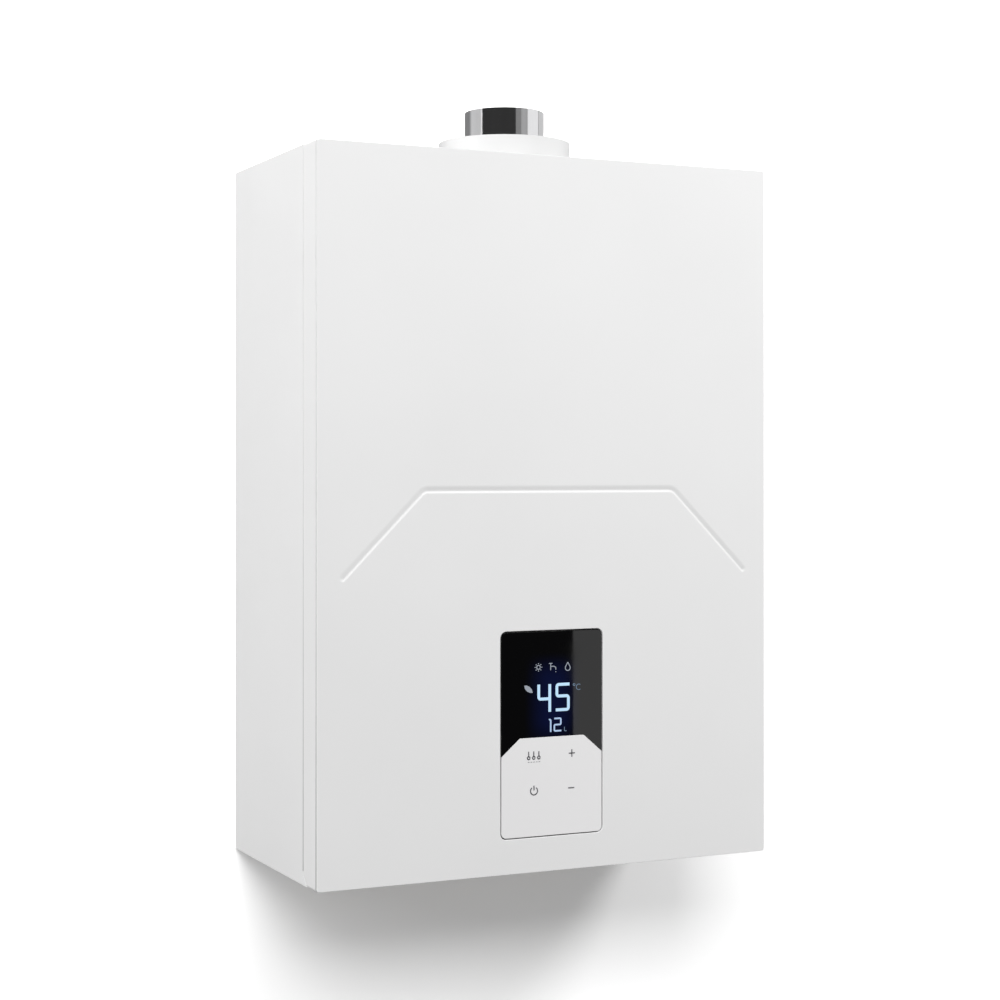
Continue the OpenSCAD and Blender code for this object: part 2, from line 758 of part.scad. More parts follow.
module fan_screws() color("dimgray") {
    for (a = ear_angles) screw_y(fan_x + ear_reach(a) * cos(a), y_scroll_front,
        fan_z + ear_reach(a) * sin(a), scroll_t + ear_l);
    for (s = [-1, 1]) screw_y(fan_x + s * motor_screw_x, stack[0] - motor_face, fan_z,
        motor_l + 2 * motor_face + y_scroll_front - y_motor);
}

// hood over the cell, narrowing to the fan's inlet
hood_t = 1;
hood_neck = 50;

hood_draft = 6;

module hood_outline(inset) {
    x = hood_neck - inset;
    top = fan_z + hood_neck - hood_draft - inset;
    shoulder = fan_z - hood_neck / 2 - inset;
    polygon([[-cell_w / 2 + inset, z_hood - 2 * inset], [cell_w / 2 - inset, z_hood - 2 * inset],
        [cell_w / 2 - inset, z_hood - inset / 2], [fan_x + x, shoulder], [fan_x + x - hood_draft, top],
        [fan_x - x + hood_draft, top], [fan_x - x, shoulder], [-cell_w / 2 + inset, z_hood - inset / 2]]);
}

module cell_plan(z, grow, r) level(z) translate([0, cell_y]) rounded(cell_w + 2 * grow, cell_d + 2 * grow, r);

cell_r = 10;

module fume_hood() color("silver") difference() {
    union() {
        cell_plan([cell_top, z_hood], 0, cell_r);
        cell_plan([cell_top, cell_top + hood_t], flange_w, cell_r);
        upright([y_scroll_back, y_cell_back]) hood_outline(0);
    }
    cell_plan([cell_top - lap, z_hood - hood_t], -hood_t, cell_r - hood_t);
    upright([y_scroll_back + hood_t, y_cell_back - hood_t]) hood_outline(hood_t);
    along_y(fan_x, [y_scroll_back - lap, y_scroll_back + 2 * hood_t], fan_z, inlet_r);
}

electrode_x = [-70, 60, 80];
electrode_z = z_cell_low + 10;
ceramic_r = 3.5;
rod_r = 1.2;
electrode_seat = 1.5;

module riser_notch() along_z(coil_x, conn_y, [z_burner_low - lap, z_cell_low + 2 * cell_t], coil_r + 1.5);

module heat_cell() color("peru") difference() {
    union() {
        cell_plan([z_cell_low, cell_top], 0, cell_r);
        for (z = [z_cell_low, cell_top - cell_t]) cell_plan([z, z + cell_t], flange_w, cell_r);
    }
    cell_plan([z_cell_low - lap, cell_top + lap], -cell_t, cell_r - cell_t);
    for (i = [0 : tube_count - 1])
        along_x([-cell_w, cell_w], tube_y(i), tube_z, tube_r + 0.05);
    for (x = electrode_x) along_y(x, [y_cell_front - lap, y_cell_front + 2], electrode_z, ceramic_r + 0.1);
    riser_notch();
}

// fins across the cell and the tube that runs back and forth through them
fin_count = floor((cell_w - 14) / fin_pitch) + 1;
fin_inset = 3;

module exchanger_fins() color("peru") for (i = [0 : fin_count - 1])
    sideways((i - (fin_count - 1) / 2) * fin_pitch * [1, 1] + fin_t * [-0.5, 0.5]) difference() {
        translate([y_cell_front + fin_inset, tube_z - fin_h / 2]) square([cell_d - 2 * fin_inset, fin_h]);
        for (k = [0 : tube_count - 1]) translate([tube_y(k), tube_z]) circle(tube_r + 0.05);
        for (k = [0 : tube_count - 2]) translate([(tube_y(k) + tube_y(k + 1)) / 2, tube_z - fin_h / 2])
            circle(4);
    }

module exchanger_tubes() color("peru") {
    for (i = [0 : tube_count - 1]) along_x([-tube_end, tube_end], tube_y(i), tube_z, tube_r);
    for (i = [0 : tube_count - 2]) {
        s = i % 2 == 0 ? -1 : 1;
        translate([s * tube_end, (tube_y(i) + tube_y(i + 1)) / 2, tube_z]) rotate(s < 0 ? 90 : -90)
            rotate_extrude(angle = 180) translate([tube_pitch / 2, 0]) circle(tube_r);
    }
}

nut_h = 12;
riser_x = coil_x + 2 * pipe_bend + 1;
// three turns of the coil: each climbs to the next halfway along the cell's left side
function turn_points(z, up) = [[coil_x, coil_front, z], [-coil_x, coil_front, z], [-coil_x, cell_y, z],
    [-coil_x, cell_y, up], [-coil_x, coil_back, up], [coil_x, coil_back, up]];
coil_path = concat([[conn_x, conn_y, sensor_top], [conn_x, conn_y, z_run], [coil_x, conn_y, z_run],
    [coil_x, conn_y, z_coil[0]]], [for (i = [0 : 2]) each turn_points(z_coil[i], z_coil[i + 1])],
    [[coil_x, tube_y(0), z_coil[3]], [riser_x, tube_y(0), z_coil[3]],
    [riser_x, tube_y(0), tube_z], [tube_end, tube_y(0), tube_z]]);

module water_coil() color("peru") bent_tube(coil_path, coil_r, pipe_bend);

hot_x = tube_end + pipe_bend + 10;
outlet_top = z_floor + 26;

module hot_pipe() color("peru") bent_tube([[-tube_end, conn_y, tube_z], [-hot_x, conn_y, tube_z],
    [-hot_x, conn_y, z_run], [-conn_x, conn_y, z_run], [-conn_x, conn_y, outlet_top]], tube_r, pipe_bend);

// burner box with its blades, fed by the manifold's injectors
y_burner_front = y_cell_front + 2;
burner_wall = 1;
mouth_h = 18;
function burner_x(i) = (i - (burner_count - 1) / 2) * burner_pitch;
mouth_w = (burner_count - 1) * burner_pitch + 18;

module burner_box() color("silver") difference() {
    union() {
        block([-burner_w / 2, burner_w / 2], [y_burner_front, y_cell_back], [z_burner_low, z_burner_top]);
        block([-cell_w / 2 - flange_w, cell_w / 2 + flange_w],
            [y_cell_front - flange_w, y_cell_back + flange_w], [z_burner_top - burner_wall, z_burner_top]);
    }
    block([-burner_w / 2 + burner_wall, burner_w / 2 - burner_wall],
        [y_burner_front + burner_wall, y_cell_back - burner_wall],
        [z_burner_low + burner_wall, z_burner_top + lap]);
    block([-mouth_w / 2, mouth_w / 2], [y_burner_front - lap, y_burner_front + burner_wall + lap],
        [z_manifold - mouth_h / 2, z_manifold + mouth_h / 2]);
    riser_notch();
}

blade_front = y_burner_front + burner_wall + 2;
blade_back = y_cell_back - burner_wall - 6;
head_w = 9;
z_head = z_burner_top - 6;
slot_count = 8;

module blade_side() polygon([[blade_front, z_manifold - 7], [blade_front + 30, z_manifold - 5],
    [blade_back - 22, z_manifold - 5], [blade_back - 6, z_manifold + 6], [blade_back - 4, z_head - 8],
    [blade_front + 6, z_head - 8], [blade_front + 6, z_manifold + 12], [blade_front + 26, z_manifold + 7],
    [blade_front, z_manifold + 7]]);

module burner_blades() color("silver") for (i = [0 : burner_count - 1]) translate([burner_x(i), 0, 0]) {
    slot_pitch = (blade_back - blade_front - 14) / slot_count;
    difference() {
        union() {
            sideways([-burner_t / 2, burner_t / 2]) blade_side();
            block([-head_w / 2, head_w / 2], [blade_front + 6, blade_back - 4], [z_head - 10, z_head]);
        }
        for (k = [1 : slot_count]) block([-head_w / 4, head_w / 4],
            [blade_front + 4 + k * slot_pitch, blade_front + 6 + k * slot_pitch], [z_head - 6, z_head + lap]);
        along_y(0, [blade_front - lap, blade_front + 16], z_manifold, burner_t / 2 - 0.6);
    }
    for (y = [blade_front + 12, blade_back - 12])
        block([-burner_t / 2, burner_t / 2], [y - 3, y + 3], [z_burner_low + burner_wall, z_manifold - 5]);
}

manifold_y = y_manifold + manifold_s / 2;
manifold_x = mouth_w / 2 + 4;

module gas_manifold() color("silver") difference() {
    union() {
        block([-manifold_x, manifold_x], [y_manifold, y_manifold + manifold_s],
            [z_manifold - manifold_s / 2, z_manifold + manifold_s / 2]);
        for (s = [-1, 1]) translate([s * (manifold_x - 3), 0, 0])
            block([-3, 3], [y_manifold + manifold_s - lap, y_burner_front],
                [z_manifold - manifold_s / 2, z_manifold + manifold_s / 2]);
    }
    along_x([-manifold_x + 3, manifold_x - 3], manifold_y, z_manifold, manifold_s / 2 - 2.5);
}

injector_r = 4;

module injectors() color("goldenrod") for (i = [0 : burner_count - 1])
    translate([burner_x(i), y_manifold + manifold_s, z_manifold]) rotate([-90, 0, 0]) {
        cylinder(r = injector_r, h = 2.5, $fn = 6);
        cylinder(r = injector_r - 1.6, h = manifold_gap + burner_wall + 1);
    }

ceramic_tail = y_cell_front - 14;
ceramic_tip = y_cell_front + 4;
ceramic_plate = [9, 5];
rod_tip = y_cell_front + 30;

module electrode_ceramics() color("whitesmoke") for (x = electrode_x) difference() {
    union() {
        along_y(x, [ceramic_tail, ceramic_tip], electrode_z, ceramic_r);
        block([x - ceramic_plate.x, x + ceramic_plate.x], [y_cell_front - electrode_seat, y_cell_front],
            [electrode_z - ceramic_plate.y, electrode_z + ceramic_plate.y]);
    }
    along_y(x, [ceramic_tail + 2, ceramic_tip + 1], electrode_z, rod_r);
}

module electrode_rods() color("silver") for (x = electrode_x)
    along_y(x, [ceramic_tail + 2, rod_tip], electrode_z, rod_r);

// gas valve: inlet from below, a seat for each plunger, outlet to the front
y_valve_front = conn_y - valve_d / 2;
chamber_r = 10;
chamber_l = 24;
disc_r = 8;
disc_t = 3;
seat_gap = 0.3;
passage_r = 6;

module gas_valve_body() color("silver") difference() {
    union() {
        block([-valve_w / 2, valve_w / 2], [y_valve_front, y_valve_front + valve_d],
            [valve_z, valve_z + valve_h]);
        along_y(0, [y_valve_front - 4, y_valve_front + 1], valve_mid, tube_r + 5);
        along_z(18, conn_y + 10, [valve_z, valve_z + valve_h + 4], 5);
    }
    for (s = [-1, 1]) along_x(s < 0 ? [-valve_w / 2 - lap, -valve_w / 2 + chamber_l]
        : [valve_w / 2 - chamber_l, valve_w / 2 + lap], conn_y, valve_mid, chamber_r);
    along_x([-valve_w / 2 + chamber_l - lap, valve_w / 2 - chamber_l + lap], conn_y, valve_mid, passage_r);
    along_z(-valve_w / 2 + chamber_l - 6, conn_y, [valve_z - lap, valve_mid], passage_r - 1);
    along_y(0, [y_valve_front - 5, conn_y], valve_mid, passage_r);
}

coil_end = 2;
coil_bore_l = coil_body_l - 2;

module valve_coils() color("dimgray") for (s = [0, 1]) mirror([s, 0, 0]) difference() {
    union() {
        along_x([valve_w / 2, valve_w / 2 + coil_body_l], conn_y, valve_mid, coil_body_r);
        for (x = [valve_w / 2, valve_w / 2 + coil_body_l - coil_end])
            block([x, x + coil_end], [conn_y - coil_body_r - 1, conn_y + coil_body_r + 1],
                [valve_mid - coil_body_r - 1, valve_mid + coil_body_r + 1]);
    }
    along_x([valve_w / 2 - lap, valve_w / 2 + coil_bore_l], conn_y, valve_mid, plunger_r + plunger_play);
}

// a plunger rests with its disc on its seat and moves outwards
disc_x = valve_w / 2 - chamber_l + seat_gap;

module plunger() {
    along_x([disc_x, disc_x + disc_t], conn_y, valve_mid, disc_r);
    along_x([disc_x + disc_t - 0.1, valve_w / 2 + coil_bore_l - plunger_travel - 2], conn_y, valve_mid,
        plunger_r);
}

module main_plunger() color("silver") mirror([1, 0, 0]) plunger();
module modulating_plunger() color("silver") plunger();

module gas_pipe() color("silver") difference() {
    bent_tube([[0, y_valve_front - 4, valve_mid], [0, manifold_y, valve_mid],
        [0, manifold_y, z_manifold - manifold_s / 2]], tube_r, pipe_bend);
    along_y(0, [y_valve_front - 16, y_valve_front], valve_mid, tube_r - 1);
}

// connections through the bottom plate
z_thread_end = z_floor_low - locknut_h - thread_l;
bore_r = 7.5;
block_side = 14;
shank_step = 0.5;

module thread_and_shank(x, top) {
    along_z(x, conn_y, [z_thread_end, z_thread_end + thread_l], thread_r);
    along_z(x, conn_y, [z_thread_end + thread_l - lap, top], thread_r - shank_step);
}

module stub(x, top) difference() {
    thread_and_shank(x, top);
    along_z(x, conn_y, [z_thread_end - lap, top + lap], bore_r);
}

module gas_inlet() color("goldenrod") {
    stub(0, z_floor + 4);
    difference() {
        translate([0, conn_y, z_floor]) union() {
            hex(27, 4);
            block([-26, 20], [-block_side, block_side], [4, valve_z - z_floor]);
        }
        along_z(0, conn_y, [z_floor - lap, z_floor + 9], bore_r);
        along_z(-valve_w / 2 + chamber_l - 6, conn_y, [z_floor + 7, valve_z + lap], passage_r - 1);
        block([-valve_w / 2 + chamber_l - 6, 0], [conn_y - passage_r + 1, conn_y + passage_r - 1],
            [z_floor + 6, z_floor + 9]);
    }
}

plug_stem_r = 5;
plug_gap = 0.3;
plug_grip_h = 13;
flute_count = 12;
flute_r = 1.4;
stem_l = 14;

module cold_inlet() color("goldenrod") difference() {
    union() {
        thread_and_shank(conn_x, z_floor + lap);
        block([conn_x - block_side, plug_x + block_side - 3], [conn_y - block_side, conn_y + block_side],
            [z_floor, sensor_low]);
    }
    along_z(conn_x, conn_y, [z_thread_end - lap, sensor_low + lap], bore_r);
    along_z(plug_x, conn_y, [z_floor_low - lap, z_floor + stem_l + 1], plug_stem_r + plug_gap);
}

module hot_outlet() color("goldenrod") {
    stub(-conn_x, outlet_top);
    difference() {
        translate([-conn_x, conn_y, z_floor]) hex(27, 10);
        along_z(-conn_x, conn_y, [z_floor - lap, z_floor + 11], thread_r - 1);
    }
}

module locknuts() color("goldenrod") for (x = [-conn_x, 0, conn_x]) difference() {
    translate([x, conn_y, z_floor_low - locknut_h]) hex(30, locknut_h);
    along_z(x, conn_y, [z_floor_low - locknut_h - lap, z_floor_low + lap], thread_r - shank_step + 0.05);
}

module pipe_nut(p, r, wall) difference() {
    translate(p) hex(2 * (r + wall), nut_h);
    along_z(p.x, p.y, [p.z - lap, p.z + nut_h + lap], r + 0.05);
}

module union_nuts() color("goldenrod") {
    pipe_nut([conn_x, conn_y, sensor_top], coil_r, 5);
    pipe_nut([-conn_x, conn_y, outlet_top], tube_r, 5);
    pipe_nut([0, manifold_y, z_manifold - manifold_s / 2 - nut_h], tube_r, 2);
}

// flow sensor: a turbine on an axle held by a cross at each end
cross_t = 2;
cross_w = 1.6;
plug_w = 20;
plug_d = 5;
turbine_low = sensor_low + 12;
axle_play = 0.05;

module flow_sensor() color("dimgray") {
    difference() {
        union() {
            along_z(conn_x, conn_y, [sensor_low, sensor_top], sensor_r);
            block([conn_x - plug_w / 2, conn_x + plug_w / 2], [conn_y - sensor_r - plug_d, conn_y],
                [turbine_low - cross_t, turbine_low + turbine_h]);
        }
        along_z(conn_x, conn_y, [sensor_low - lap, turbine_low + turbine_h + 8], sensor_bore);
        along_z(conn_x, conn_y, [turbine_low, sensor_top + lap], coil_r - 1);
    }
    for (z = [turbine_low - cross_t - 0.3, turbine_low + turbine_h + 0.3], a = [0, 90])
        translate([conn_x, conn_y, z + cross_t / 2]) rotate(a)
            cube([2 * sensor_bore + 1, cross_w, cross_t], center = true);
    along_z(conn_x, conn_y, [turbine_low - cross_t, turbine_low + turbine_h + cross_t], axle_r);
}

vane_count = 6;
vane_tilt = 35;
turbine_r = sensor_bore - turbine_gap;

module flow_turbine() color("white") translate([conn_x, conn_y, turbine_low]) difference() {
    union() {
        cylinder(r = 3, h = turbine_h);
        intersection() {
            cylinder(r = turbine_r, h = turbine_h);
            for (i = [0 : vane_count - 1]) rotate(i * 360 / vane_count)
                translate([2, 0, turbine_h / 2]) rotate([vane_tilt, 0, 0])
                    translate([0, -0.5, -turbine_h]) cube([turbine_r, 1, 2 * turbine_h]);
        }
    }
    translate([0, 0, -1]) cylinder(r = axle_r + axle_play, h = turbine_h + 2);
}

module drain_plug() color("dimgray") {
    difference() {
        along_z(plug_x, conn_y, [z_floor_low - plug_gap - plug_grip_h, z_floor_low - plug_gap], plug_r);
        for (i = [0 : flute_count - 1])
            translate([plug_x, conn_y, z_floor_low - plug_gap - plug_grip_h - lap])
                rotate(i * 360 / flute_count) translate([plug_r + 0.6, 0, 0])
                    cylinder(r = flute_r, h = plug_grip_h - 2);
    }
    along_z(plug_x, conn_y, [z_floor_low - plug_gap - lap, z_floor + stem_l], plug_stem_r);
}

// control box with its lid, on feet between the casing's side and the control panel
box_t = 2;
box_d = 34;
box_h = 62;
box_in = 19;
box_side = 13.8;
box_gap = 14.5;
foot_h = 14;
foot_half = 6;
foot_d = 8;
box_x = [-in_w + box_side, -panel_w / 2 - box_gap];
box_y = [front + box_in, front + box_in + box_d];
box_z = [z_floor + foot_h, z_floor + foot_h + box_h];

module control_box() color("whitesmoke") {
    difference() {
        block(box_x, [box_y[0] + box_t, box_y[1]], box_z);
        block(box_x + box_t * [1, -1], [box_y[0] + box_t - lap, box_y[1] - box_t], box_z + box_t * [1, -1]);
    }
    block(box_x, [box_y[0], box_y[0] + box_t], box_z);
    for (x = [box_x[0] + 2 * foot_half, box_x[1] - 2 * foot_half])
        block([x - foot_half, x + foot_half], [box_y[1] - foot_d, box_y[1]], [z_floor, box_z[0]]);
}

// circuit boards: their thickness, and the pillars that hold the one in the box
board_t = 1.6;
pillar_h = 4.4;
pillar_r = 3;
pillar_in = 10;

// parts on the board: a transformer, a relay and a capacitor
module control_board() color("green") {
    y_pillar = box_y[1] - box_t;
    y_top = y_pillar - pillar_h - board_t;
    block(box_x + (box_t + 2) * [1, -1], [y_top, y_pillar - pillar_h], box_z + (box_t + 2) * [1, -1]);
    for (x = [box_x[0] + pillar_in, box_x[1] - pillar_in], z = [box_z[0] + pillar_in, box_z[1] - pillar_in])
        along_y(x, [y_pillar - pillar_h, y_pillar], z, pillar_r);
    block([box_x[0] + 16, box_x[0] + 40], [y_top - 18, y_top], [box_z[0] + 14, box_z[0] + 44]);
    block([box_x[1] - 30, box_x[1] - 16], [y_top - 8, y_top], [box_z[0] + 20, box_z[0] + 40]);
    along_y(box_x[0] + 56, [y_top - 16, y_top], box_z[0] + 20, 8);
}

// igniter on the other side of the panel, and the leads to the electrodes
igniter_w = 42;
igniter_d = 28;
igniter_h = 34;
igniter_in = 17;
igniter_gap = 8.5;
igniter_foot = 10;
igniter_x = [panel_w / 2 + igniter_gap, panel_w / 2 + igniter_gap + igniter_w];
igniter_y = [front + igniter_in, front + igniter_in + igniter_d];
igniter_z = [z_floor + foot_h, z_floor + foot_h + igniter_h];
lead_y = front + 22;
lead_r = 2;
lead_bend = 5;

module igniter() color("dimgray") {
    block(igniter_x, igniter_y, igniter_z);
    block([igniter_x[0] + igniter_foot, igniter_x[1] - igniter_foot],
        [igniter_y[1] - foot_d / 2, igniter_y[1]], [z_floor, igniter_z[0]]);
}

module ignition_leads() color("firebrick") for (x = electrode_x)
    bent_tube([[x, lead_y, x > 0 ? igniter_z[1] : box_z[1]], [x, lead_y, electrode_z],
        [x, ceramic_tail, electrode_z]], lead_r, lead_bend);

// control panel: housing with its flange, glass, key plate and board
module panel_outline(grow) panel_place()
    rounded(panel_w + 2 * grow, panel_h + 2 * grow, max(panel_r + grow, 0.5));

module key_outline(shrink) panel_place() translate([0, -key_drop - shrink])
    polygon([[-panel_w, -panel_h], [panel_w, -panel_h], [panel_w, -key_chamfer],
        [panel_w / 2, -key_chamfer], [key_half, 0], [-key_half, 0], [-panel_w / 2, -key_chamfer],
        [-panel_w, -key_chamfer]]);

lens_seam = 0.1;

module display_window() color("black") upright([front, y_tray]) difference() {
    panel_outline(0);
    key_outline(-lens_seam / 2);
}

module key_plate() color("gainsboro") upright([front, y_tray]) intersection() {
    panel_outline(0);
    key_outline(lens_seam / 2);
}

module console_tray() color("whitesmoke") {
    difference() {
        union() {
            upright([y_tray, y_tray_back]) panel_outline(0);
            upright([y_tray_flange, y_tray_flange + tray_flange]) panel_outline(ear_w);
        }
        upright([y_tray - lap, y_tray_back - tray_t]) panel_outline(-tray_t);
    }
    for (x = [-1, 1], z = [-1, 1]) along_y(x * (panel_w / 2 - board_back), [y_board, y_tray_back - tray_t],
        panel_z + z * (panel_h / 2 - board_back), pillar_r);
}

board_back = 8;
y_board = y_tray + board_back;
key_spots = [[-15, -16], [16.5, -16], [-15, -41], [16.5, -41]];

module display_board() color("green") {
    upright([y_board - board_t, y_board]) panel_outline(-tray_t - 0.5);
    block([-18, 20], [y_tray, y_board - board_t], [panel_z - 1, panel_z + 42]);
    for (p = key_spots) along_y(p.x, [y_tray, y_board - board_t], panel_z + p.y, 5);
}

module console_gasket() color("dimgray") difference() {
    upright([front + rim_d + gap, y_tray_flange]) panel_outline(ear_w);
    upright([front + rim_d, y_tray_flange + lap]) panel_outline(0.1);
}

// bracket that stands in the casing's mouth and carries the control panel
bracket_t = 1.2;
bracket_x = 38;
bracket_foot = 20;

module console_bracket() color("silver") difference() {
    union() {
        block([-bracket_x, bracket_x], [y_tray_back, y_tray_back + bracket_t],
            [lip_low + sheet, panel_z + panel_h / 2 - 6]);
        block([-bracket_x, bracket_x], [y_tray_back, y_tray_back + bracket_foot],
            [lip_low + sheet, lip_low + 2 * sheet]);
    }
    upright([y_tray_back - lap, y_tray_back + bracket_t + lap]) panel_place()
        for (z = [-1, 1]) translate([0, z * 30]) rounded(2 * bracket_x - 28, 40, 6);
}

// air pressure switch on the back panel, with its hose to the scroll
switch_in = 80;
switch_x = half_w - switch_in;
switch_z = half_h - 75;
switch_r = 32;
switch_y = [-38, -14];
switch_leg = 24;
hose_r = 3;
hose_drop = 14;
hose_z = switch_z - hose_drop;

module pressure_switch() color("whitesmoke") {
    along_y(switch_x, switch_y, switch_z, switch_r);
    along_y(switch_x, [switch_y[0] - 6, switch_y[0] + 1], switch_z, 12);
    for (a = [90, 210, 330]) along_y(switch_x + switch_leg * cos(a), [switch_y[1] - 1, -sheet],
        switch_z + switch_leg * sin(a), 5);
    bent_tube([[switch_x, switch_y[0], hose_z], [switch_x, flue_y, hose_z],
        [fan_x + scroll_end + scroll_t, flue_y, hose_z]], hose_r, 10);
}

harness_x = -half_w + 20;
harness_y = front + 40;
harness_r = 4;
harness_bend = 14;
harness_z = fan_z - 20;

module wiring_harness() color("dimgray") bent_tube([[harness_x, harness_y, box_z[1]],
    [harness_x, harness_y, harness_z], [fan_x - motor_half, harness_y, harness_z]], harness_r,
    harness_bend);

gland_flange = 3;
gland_lip = 3;
gland_cap = 7;
gland_bore = 3.5;

module cable_gland() color("dimgray") difference() {
    union() {
        along_z(gland_x, gland_y, [z_floor_low - gland_flange, z_floor_low], gland_r + gland_lip);
        along_z(gland_x, gland_y, [z_floor_low - gland_flange - gland_cap, z_floor + gland_flange],
            gland_r - fit);
        along_z(gland_x, gland_y, [z_floor, z_floor + gland_flange], gland_r + gland_lip);
    }
    along_z(gland_x, gland_y, [z_floor_low - gland_flange - gland_cap - lap, z_floor + gland_flange + lap],
        gland_bore);
}

rear_casing();
top_plate();
bottom_plate();
seal_frame();
mounting_rails();
front_panel();
cover_frame();
cover_gasket();
cover_screws();
air_collar();
flue_gaskets();
collar_screws();
exhaust_ring();
flue_adapter();
fan_scroll();
scroll_cover();
fan_impeller();
fan_shaft();
fan_motor();
motor_coil();
motor_bridges();
fan_screws();
fume_hood();
heat_cell();
exchanger_fins();
exchanger_tubes();
water_coil();
hot_pipe();
burner_box();
burner_blades();
gas_manifold();
injectors();
electrode_ceramics();
electrode_rods();
gas_valve_body();
valve_coils();
main_plunger();
modulating_plunger();
gas_pipe();
gas_inlet();
cold_inlet();
hot_outlet();
locknuts();
union_nuts();
flow_sensor();
flow_turbine();
drain_plug();
control_box();
control_board();
igniter();
ignition_leads();
console_tray();
display_window();
key_plate();
display_board();
console_gasket();
console_bracket();
pressure_switch();
wiring_harness();
cable_gland();
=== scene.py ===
"""Finishes a wall-hung gas water heater: sheet metal, control panel, flue, fittings, wall and light."""

import json
import math
from collections import namedtuple

import bmesh
import bpy
from bpy.props import FloatProperty, FloatVectorProperty, IntProperty, PointerProperty
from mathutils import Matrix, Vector


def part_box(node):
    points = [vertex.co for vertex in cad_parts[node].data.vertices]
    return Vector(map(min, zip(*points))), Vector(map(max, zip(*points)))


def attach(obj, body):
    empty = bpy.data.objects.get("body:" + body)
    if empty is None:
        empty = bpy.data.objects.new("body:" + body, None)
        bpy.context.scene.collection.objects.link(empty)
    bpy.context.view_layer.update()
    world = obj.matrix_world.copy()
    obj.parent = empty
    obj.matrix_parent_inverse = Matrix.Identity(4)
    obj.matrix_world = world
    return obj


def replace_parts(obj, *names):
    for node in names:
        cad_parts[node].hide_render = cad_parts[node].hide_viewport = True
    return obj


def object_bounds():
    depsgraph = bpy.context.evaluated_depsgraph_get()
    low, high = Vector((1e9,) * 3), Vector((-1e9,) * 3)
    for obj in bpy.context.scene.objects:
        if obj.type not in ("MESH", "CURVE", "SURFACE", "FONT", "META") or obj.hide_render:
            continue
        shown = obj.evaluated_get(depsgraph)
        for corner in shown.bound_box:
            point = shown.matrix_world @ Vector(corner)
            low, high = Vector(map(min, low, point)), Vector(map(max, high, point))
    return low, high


bl_info = {
    "name": "Gas Water Heater Finish",
    "version": (1, 0, 0),
    "blender": (4, 5, 0),
    "location": "3D View > Sidebar > Heater",
    "description": "Sheet metal, control panel, flue, fittings, wall and light of a gas water heater",
    "category": "Object",
}

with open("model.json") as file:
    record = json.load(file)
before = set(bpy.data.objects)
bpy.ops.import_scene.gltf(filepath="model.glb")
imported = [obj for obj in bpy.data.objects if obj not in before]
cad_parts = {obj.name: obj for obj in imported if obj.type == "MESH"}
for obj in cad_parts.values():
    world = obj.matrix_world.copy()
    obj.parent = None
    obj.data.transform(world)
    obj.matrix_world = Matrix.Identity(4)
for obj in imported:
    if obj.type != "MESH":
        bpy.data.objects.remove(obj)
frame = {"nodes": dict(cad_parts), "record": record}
CAD_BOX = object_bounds()
MM = 0.001
SLOT_OF = {part["node"]: part["material_slot"] for part in frame["record"]["subparts"]}
BODY_OF = {node: body for body, nodes in frame["record"]["behaviour"]["bodies"].items() for node in nodes}
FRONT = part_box("front_panel")[0].y
PANEL_LOW = Vector((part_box("display_window")[0].x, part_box("key_plate")[0].z))
PANEL_HIGH = Vector((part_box("display_window")[1].x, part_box("display_window")[1].z))
PANEL_MID = (PANEL_LOW + PANEL_HIGH) / 2


# Nodes

def connect(tree, value, socket):
    """Links a socket, or a node's first output, to a socket, or sets it to a value."""
    if isinstance(value, bpy.types.Node):
        tree.links.new(value.outputs[0], socket)
    elif isinstance(value, bpy.types.NodeSocket):
        tree.links.new(value, socket)
    else:
        socket.default_value = value


def add(tree, kind, inputs=None, **settings):
    """A new node with its settings and inputs."""
    made = tree.nodes.new(kind)
    for key, value in settings.items():
        setattr(made, key, value)
    for key, value in (inputs or {}).items():
        connect(tree, value, made.inputs[key])
    return made


def calc(tree, operation, *values):
    """The result of a Math node."""
    made = tree.nodes.new("ShaderNodeMath")
    made.operation = operation
    for value, socket in zip(values, made.inputs):
        connect(tree, value, socket)
    return made.outputs[0]


def ramp(tree, value, low, high, start=0.0, end=1.0):
    """A value taken from one range to another, clamped."""
    made = add(tree, "ShaderNodeMapRange", clamp=True, interpolation_type="SMOOTHSTEP")
    for socket, number in zip(made.inputs, (value, low, high, start, end)):
        connect(tree, number, socket)
    return made.outputs[0]


def noise(tree, vector, scale, detail=2.0):
    """The value of a Noise Texture."""
    return add(tree, "ShaderNodeTexNoise", {"Vector": vector, "Scale": scale, "Detail": detail}).outputs[0]


def stretched(tree, vector, scale):
    """Coordinates scaled by a vector."""
    return add(tree, "ShaderNodeMapping", {"Vector": vector, "Scale": scale}).outputs[0]


def node_group(name, kind, inputs, outputs):
    """A node group with named sockets; returns it with its input sockets and its end node."""
    tree = bpy.data.node_groups.new(name, kind)
    for label, sort, value in inputs:
        socket = tree.interface.new_socket(label, in_out="INPUT", socket_type="NodeSocket" + sort)
        if value is not None:
            socket.default_value = value
    for label, sort in outputs:
        tree.interface.new_socket(label, in_out="OUTPUT", socket_type="NodeSocket" + sort)
    return tree, tree.nodes.new("NodeGroupInput").outputs, tree.nodes.new("NodeGroupOutput")


def effect_group(name, make):
    """Makes a shader group with a Vector and a Size in, and Tone, Gloss and Height out."""
    results = ("Tone", "Gloss", "Height")
    tree, given, end = node_group(name, "ShaderNodeTree",
        (("Vector", "Vector", None), ("Size", "Float", MM)), [(label, "Float") for label in results])
    scale = calc(tree, "DIVIDE", 1.0, given["Size"])
    for label, value in zip(results, make(tree, given["Vector"], scale)):
        connect(tree, value, end.inputs[label])


